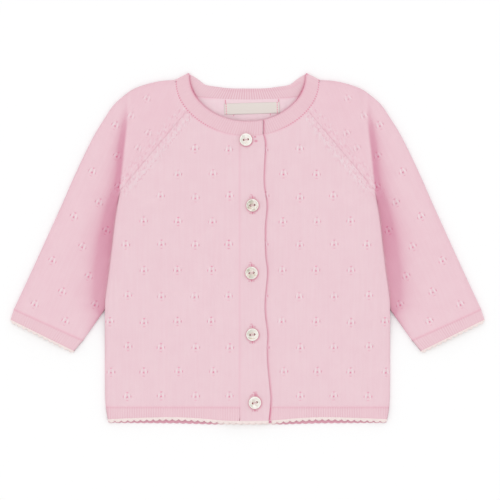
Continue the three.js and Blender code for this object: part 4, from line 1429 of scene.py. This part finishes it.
def hem_lines(edge, crossed):
    def lines(p, w, place):
        at = place[:, :2]
        root = at[:, 1] - edge(at[:, 0]) - HEM_PICOT_DEEP
        every = [(HEM_TOP - at[:, 1], SHOWS["hem"]), (root, SHOWS["hem picot"])]
        return every + ([band_edge_line(at)] if crossed else [])
    return lines


def cuff_lines(p, w, place):
    return [((1 - w) * CUFF_DEEP, SHOWS["cuff"]), (w * CUFF_DEEP, SHOWS["cuff picot"])]


def sleeve_lines(p, w, place):
    seam = np.where((w > 1) & (p < 1), off_raglan(*place[:, :2].T, FRONT_RAGLAN_TOP), FAR)
    from_cuff = np.where(w < 0.5, w * SLEEVE_LOW_LONG, FAR)
    return [(seam, SHOWS["raglan"]), (from_cuff, SHOWS["cuff"])]


def neckband_lines(p, w, place):
    at = place[:, :2]
    front = (p <= 1) | (p >= 4)
    away, strength = neck_edge_line(at)
    edge = np.where(front, w * NECKBAND_WIDE, np.where(np.abs(at[:, 0]) > 30, away, FAR))
    seam = (1 - w) * NECKBAND_WIDE
    behind = 0.16 * smooth(np.abs(at[:, 0]), 18, 40)
    lapped, lapped_strength = band_edge_line(at)
    turned = np.where((p > 2) & (p < 3) & (at[:, 0] > -24), w * NECKBAND_WIDE - 2.6, FAR)
    return [
        (edge, strength * np.where(front, 0.5, 1.0)), (seam, np.where(front, 0.1, behind)),
        (np.where(p >= 4, lapped, FAR), lapped_strength), (turned, 0.1),
    ]


# Which stretches of rim are free edges and not seams.

def at_side(p, w, place):
    return (body_side(place[:, 1]) - np.abs(place[:, 0]) < 0.3) & (place[:, 1] < UNDERARM[1] - 1)


def under_arm(p, w, place):
    return ((p == 0) | (p == 3)) & (w < 1)


def round_neck(p, w, place):
    return (w == 0) | (p == 0) | (p == 5)


# Relief of each kind of piece, in millimetres along the cloth's outward side.

def rib_relief(high, end):
    """Ribs that level out at both ends of the piece, so that its seams close."""
    def relief(p, w, place, flat):
        return high * np.sin(2 * math.pi * flat[:, 0] / RIB) * smooth(np.minimum(p, end - p), 0, 0.01)
    return relief


def clear_of_raglan(place):
    """0 on the raglan seam, so that no crease makes a step there, and 1 away from it."""
    return smooth(np.abs(off_raglan(*place[:, :2].T, FRONT_RAGLAN_TOP)), 0, 7)


def body_relief(p, w, place, flat):
    return crease_relief(place[:, :2], BODY_CREASES) * clear_of_raglan(place)


def sleeve_relief(p, w, place, flat):
    return crease_relief(place[:, :2], SLEEVE_CREASES) * clear_of_raglan(place) * np.where(p < 1, 1.0, 0.0)


# Building the pieces.

def panel_rows(cell, yoke_long):
    """A body panel's rows, from the hem to the underarm and over the yoke."""
    return chained(spaced(0, 1, UNDERARM[1] - HEM_TOP, cell, AT_START), spaced(1, 2, yoke_long, cell, AT_END))


def build_body():
    body = knit("fine knit", BODY_PINK, marks=True, fashioned=True)
    back = shell(
        "back_cloth", back_surface, spaced(-1, 1, 250, 3.0), panel_rows(3.0, 80), body_pattern,
        motifs=np.vstack([body_motifs(half, BACK_RAGLAN_TOP) for half in (-1, 1)]), lines=back_lines,
        free=at_side, facing=-1, cuts=1,
    )
    sew_sheet(back, knit("fine knit of the back", BODY_PINK, inside=True), "back", "floor")
    for side, name, centre, rise in ((-1, "right", BAND_SEAM, lap), (1, "left", BUTTON_SEAM, level)):
        front = shell(
            f"front_{name}_cloth", front_surface(side, centre, rise), spaced(0, 1, 116, 2.0),
            panel_rows(2.0, 62), body_pattern, motifs=body_motifs(side, FRONT_RAGLAN_TOP),
            marks=raglan_marks(side), relief=body_relief, shade=side_shade, fashioned=fashioning,
            lines=front_lines(side), free=at_side,
        )
        sew_sheet(front, body, f"front_{name}", "back")


def build_bands():
    finish = knit("band knit", BODY_PINK, flowers=False, buttonholes=True)
    over = band_surface(lambda y: level(y) - BAND_SEAM, band_edge, lap)
    under = band_surface(lambda y: level(y) - BUTTON_EDGE, lambda y: level(y) + BUTTON_SEAM - INSET, level)
    centres = np.array([(button["x"], button["y"]) for button in BUTTONS])
    parts = (("buttonhole_band", over, 25, centres, 1), ("button_band", under, 21, (), 0))
    for name, surface, wide, marks, open_side in parts:
        band = shell(
            f"{name}_cloth", surface, spaced(0, 1, wide, 1.2), spaced(0, 1, 255, 1.6), body_pattern,
            marks=marks, reach=STITCH_MARKS_REACH, lines=band_lines,
            free=lambda p, w, place, open_side=open_side: p == open_side,
        )
        sew_sheet(band, finish, name, "back")


def build_hems():
    finish = ribbed("hem rib", RIB_PINK, contrast=0.45)
    right = (-1, -(BAND_SEAM + INSET) / HEM_SIDE)
    left = ((BUTTON_SEAM + INSET) / HEM_SIDE, 1)
    parts = (
        ("hem_back", (-1, 1), back_hem_edge, back_top, 1),
        ("hem_front_right", right, front_hem_edge, lapped_top, -1),
        ("hem_front_left", left, front_hem_edge, body_top, -1),
    )
    for name, (start, end), edge, height, turned in parts:
        hem = shell(
            f"{name}_rib", hem_surface(start, end, edge, height, turned),
            spaced(0, 1, (end - start) * HEM_SIDE, RIB_CELL), spaced(0, 1, 13, 2.0), body_pattern,
            relief=rib_relief(0.08, 1), shade=side_shade, lines=hem_lines(edge, name == "hem_front_left"),
            free=at_side,
        )
        sew_sheet(hem, finish, name, "back" if "front" in name else "floor")


def build_sleeves():
    finish = knit("sleeve knit", SLEEVE_PINK, fashioned=True, faint_head=True)
    columns = chained(spaced(0, 1, 78, 2.1, AT_START), np.linspace(1, 2, 7), spaced(2, 3, 78, 4.0, AT_END))
    rows = chained(spaced(0, 1, 155, 2.1, AT_START), spaced(1, 2, 115, 2.1, AT_END))
    for half, name in HALVES:
        sleeve = shell(
            f"sleeve_{name}_cloth", sleeve_surface, columns, rows, sleeve_pattern,
            motifs=sleeve_motifs(), relief=sleeve_relief, shade=sleeve_shade, fashioned=fashioning,
            lines=sleeve_lines, free=under_arm, half=half,
        )
        sew_sheet(sleeve, finish, f"sleeve_{name}", "floor")


def build_cuffs():
    finish = ribbed("cuff rib", RIB_PINK, contrast=0.45)
    columns = chained(
        spaced(0, 1, CUFF_WIDE, 0.4, AT_START), np.linspace(1, 2, 9), spaced(2, 3, CUFF_WIDE, 0.4, AT_END),
    )
    pattern = strip_pattern(cuff_surface, (0, 3), CUFF_DEEP)
    for half, name in HALVES:
        cuff = shell(
            f"cuff_{name}_rib", cuff_surface, columns, spaced(0, 1, CUFF_DEEP, 2.0), pattern,
            relief=rib_relief(0.06, 3), lines=cuff_lines, free=under_arm, half=half,
        )
        sew_sheet(cuff, finish, f"cuff_{name}", "floor")


def picot_posts(p, w, place, flat):
    """Four stitches to a scallop."""
    return 0.16 * np.sin(2 * math.pi * flat[:, 0] / (SCALLOP / 4))


def shaded_back(p, w, place):
    """Painted shade on the back's edging, where it lies under the front's, but not in the middle, where it
    shows.
    """
    return 0.72 * smooth(np.abs(place[:, 0]), 18, 32)


def shaded_corner(p, w, place):
    """A small painted shade where the left front comes out from under the upper band."""
    return np.where(place[:, 0] > 19, spot(place[:, 0], place[:, 1], 20.3, 2.8, 1.5, 1.6), 0)


def build_picots():
    finish = yarn_finish("cream crochet", CREAM)

    def crochet(node, surface, columns, pattern, **more):
        edging = shell(
            f"{node}_crochet", surface, columns, np.linspace(0, 1, 5), pattern,
            relief=picot_posts, free=lambda p, w, place: w == 0, **more,
        )
        sew(edging[0], finish, node)

    back = (back_hem_edge, back_top, BACK_PICOT_ROOT)
    front_right, front_left = ((front_hem_edge, top, HEM_PICOT_ROOT) for top in (lapped_top, body_top))
    hems = (
        ("picot_hem_back", -HEM_SIDE, HEM_SIDE, back, shaded_back),
        ("picot_hem_front_right", -HEM_SIDE, BAND_EDGE[0, 0], front_right, shaded_corner),
        ("picot_hem_front_left", -BUTTON_EDGE, HEM_SIDE, front_left, shaded_corner),
    )
    for name, left, right, lies, shade in hems:
        surface = picot_hem_surface(left, right, *lies)
        columns = np.linspace(0, 1, round((right - left) / PICOT_CELL))
        crochet(name, surface, columns, strip_pattern(surface, (0, 1), HEM_PICOT_DEEP), shade=shade)
    count = round(CUFF_WIDE / PICOT_CELL)
    columns = chained(np.linspace(0, 1, count), np.linspace(1, 2, 9), np.linspace(2, 3, count))
    pattern = strip_pattern(picot_cuff_surface, (0, 3), PICOT_DEEP)
    for half, name in HALVES:
        crochet(f"picot_cuff_{name}", picot_cuff_surface, columns, pattern, half=half)


def build_neckband():
    columns = chained(
        spaced(0, 1, 98, RIB_CELL, AT_START), np.linspace(1, 2, 7),
        spaced(2, 3, 124, RIB_CELL, (False, False)), np.linspace(3, 4, 7), spaced(4, 5, 92, RIB_CELL, AT_END),
    )
    band = shell(
        "neckband_rib", neckband_surface, columns, spaced(0, 1, NECKBAND_WIDE, 1.6),
        strip_pattern(neckband_surface, (0, 5), NECKBAND_WIDE), relief=rib_relief(0.04, 5),
        lines=neckband_lines, free=round_neck,
    )
    rows = read(band[0].data.vertices) / MM
    keep(band[0].data, "loops", np.where(rows[:, 2] > 2, smooth(np.abs(rows[:, 0]), 18, 44), 0))
    finish = ribbed("neck rib", RIB_PINK, contrast=0.75, depth=0.25, linked=True)
    sew_sheet(band, finish, "neckband", "back")


def label_pattern(p, w, place):
    return points(p * LABEL["long"], w * LABEL["wide"])


def build_label():
    tape = shell(
        "label_woven", label_surface, spaced(0, 1, LABEL["long"], 1.5), spaced(0, 1, LABEL["wide"], 1.0),
        label_pattern, wall=LABEL["thick"],
    )
    sew_sheet(tape, woven_label(), "label", "back")
    yarns = bmesh.new()
    z = CLOTH + 0.1
    for run in LABEL_CORNERS:
        ends = [np.array(place + (z,)) for place in run]
        middle = (ends[0] + ends[1]) / 2 + (0, 0, 0.2)
        strand(yarns, [ends[0], middle, ends[1]], 0.3, sides=6)
    sewn = finished(yarns, "label_thread", plain("label thread", LABEL_THREAD), GARMENT)
    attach(sewn, "root")


# Buttons.

# Radius and height, from the middle of the underside over the rim to the middle of the dish.
BUTTON_PROFILE = (
    (0, 0), (4.6, 0), (5.4, 0.35), (5.75, 1.05), (5.65, 1.75), (5.3, 2.18), (4.85, 2.3),
    (4.4, 2.15), (4.05, 1.82), (3.7, 1.64), (2.4, 1.5), (0, 1.46),
)


def finished(work, name, finish, place):
    """A bmesh as an object, moved to its place in the frame, with its own place kept as its map."""
    mesh = as_mesh(work, name)
    map_cloth(mesh, read(mesh.vertices)[:, :2])
    mesh.transform(place)
    mesh.materials.append(finish)
    return placed(name, mesh)


def turned_disc(profile, steps):
    work = bmesh.new()
    verts = [work.verts.new((x, 0, z)) for x, z in profile]
    edges = [work.edges.new(pair) for pair in zip(verts, verts[1:])]
    bmesh.ops.spin(work, geom=verts + edges, cent=(0, 0, 0), axis=(0, 0, 1), angle=2 * math.pi,
                   steps=steps, use_merge=True)
    bmesh.ops.remove_doubles(work, verts=work.verts, dist=1e-4)
    bmesh.ops.recalc_face_normals(work, faces=work.faces)
    return work


def pins(radius, z, depth, segments):
    """Two upright pins where a button has its thread holes."""
    work = bmesh.new()
    for side in (-1, 1):
        bmesh.ops.create_cone(work, cap_ends=True, segments=segments, radius1=radius, radius2=radius,
                              depth=depth, matrix=Matrix.Translation((side * BUTTON_HOLE_APART, 0, z)))
    return work


def drilled(thing):
    """The disc with its two thread holes."""
    tool = placed("drill", as_mesh(pins(BUTTON_HOLE, 1, 6, 20), "drill"))
    cut = thing.modifiers.new("holes", "BOOLEAN")
    cut.object = tool
    cut.solver = "EXACT"
    graph = bpy.context.evaluated_depsgraph_get()
    result = bpy.data.meshes.new_from_object(thing.evaluated_get(graph), depsgraph=graph)
    bpy.data.objects.remove(tool)
    bpy.data.objects.remove(thing)
    work = bmesh.new()
    work.from_mesh(result)
    return work


def strand(work, path, radius, sides=8):
    """A round yarn along a few points."""
    path = np.array(path, float)
    rings = len(path)
    made = bmesh.ops.create_grid(work, x_segments=rings - 1, y_segments=sides, size=0.5)["verts"]
    for vert in made:
        i = round((vert.co.x + 0.5) * (rings - 1))
        angle = (vert.co.y + 0.5) * 2 * math.pi
        ahead = Vector(path[min(i + 1, rings - 1)] - path[max(i - 1, 0)]).normalized()
        beside_it = ahead.cross(Vector((0, 0, 1))).normalized() if abs(ahead.z) < 0.99 else Vector((0, 1, 0))
        over = beside_it.cross(ahead)
        vert.co = Vector(path[i]) + radius * (math.cos(angle) * beside_it + math.sin(angle) * over)
    bmesh.ops.remove_doubles(work, verts=made, dist=radius * 0.05)


def thread_arcs():
    """The two strands that cross a button's middle."""
    work = bmesh.new()
    for offset in (-0.25, 0.25):
        arc = [
            (BUTTON_HOLE_APART * math.sin(t), offset * math.cos(t), 1.15 + 0.75 * math.cos(t))
            for t in np.linspace(-math.pi / 2, math.pi / 2, 9)
        ]
        strand(work, arc, 0.22)
    return work


def build_buttons():
    thread = plain("button thread", screen(236, 206, 208))
    # The thread in the holes is given a dark red-brown as painted shade.
    dark = plain("shadowed thread", screen(158, 58, 60))
    for number, spec in enumerate(BUTTONS, 1):
        pearl = pearl_shell(number, spec["patches"])
        under = float(lapped_top(np.array([spec["x"]]), np.array([spec["y"]]))[0]) + CLOTH / 2 + GAP
        place = (
            Matrix.Translation((spec["x"] * MM, spec["y"] * MM + FOOT_Y, under * MM))
            @ Matrix.Rotation(math.radians(spec["turn"]), 4, "Z") @ Matrix.Scale(MM, 4)
        )
        blank = finished(turned_disc(BUTTON_PROFILE, 56), "blank", pearl, Matrix.Identity(4))
        disc = finished(drilled(blank), f"button_{number}_pearl", pearl, place)
        disc.data.set_sharp_from_angle(angle=math.radians(50))
        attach(disc, "root")
        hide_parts(f"button_{number}")
        sewn = finished(thread_arcs(), f"button_{number}_thread", thread, place)
        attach(sewn, "root")
        # Thread filling the holes, dark as painted shade.
        plug = finished(pins(BUTTON_HOLE * 0.96, 0.55, 0.9, 16), f"button_{number}_thread_below", dark, place)
        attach(plug, "root")


build_body()
build_bands()
build_picots()
build_hems()
build_sleeves()
build_cuffs()
build_neckband()
build_label()
build_buttons()
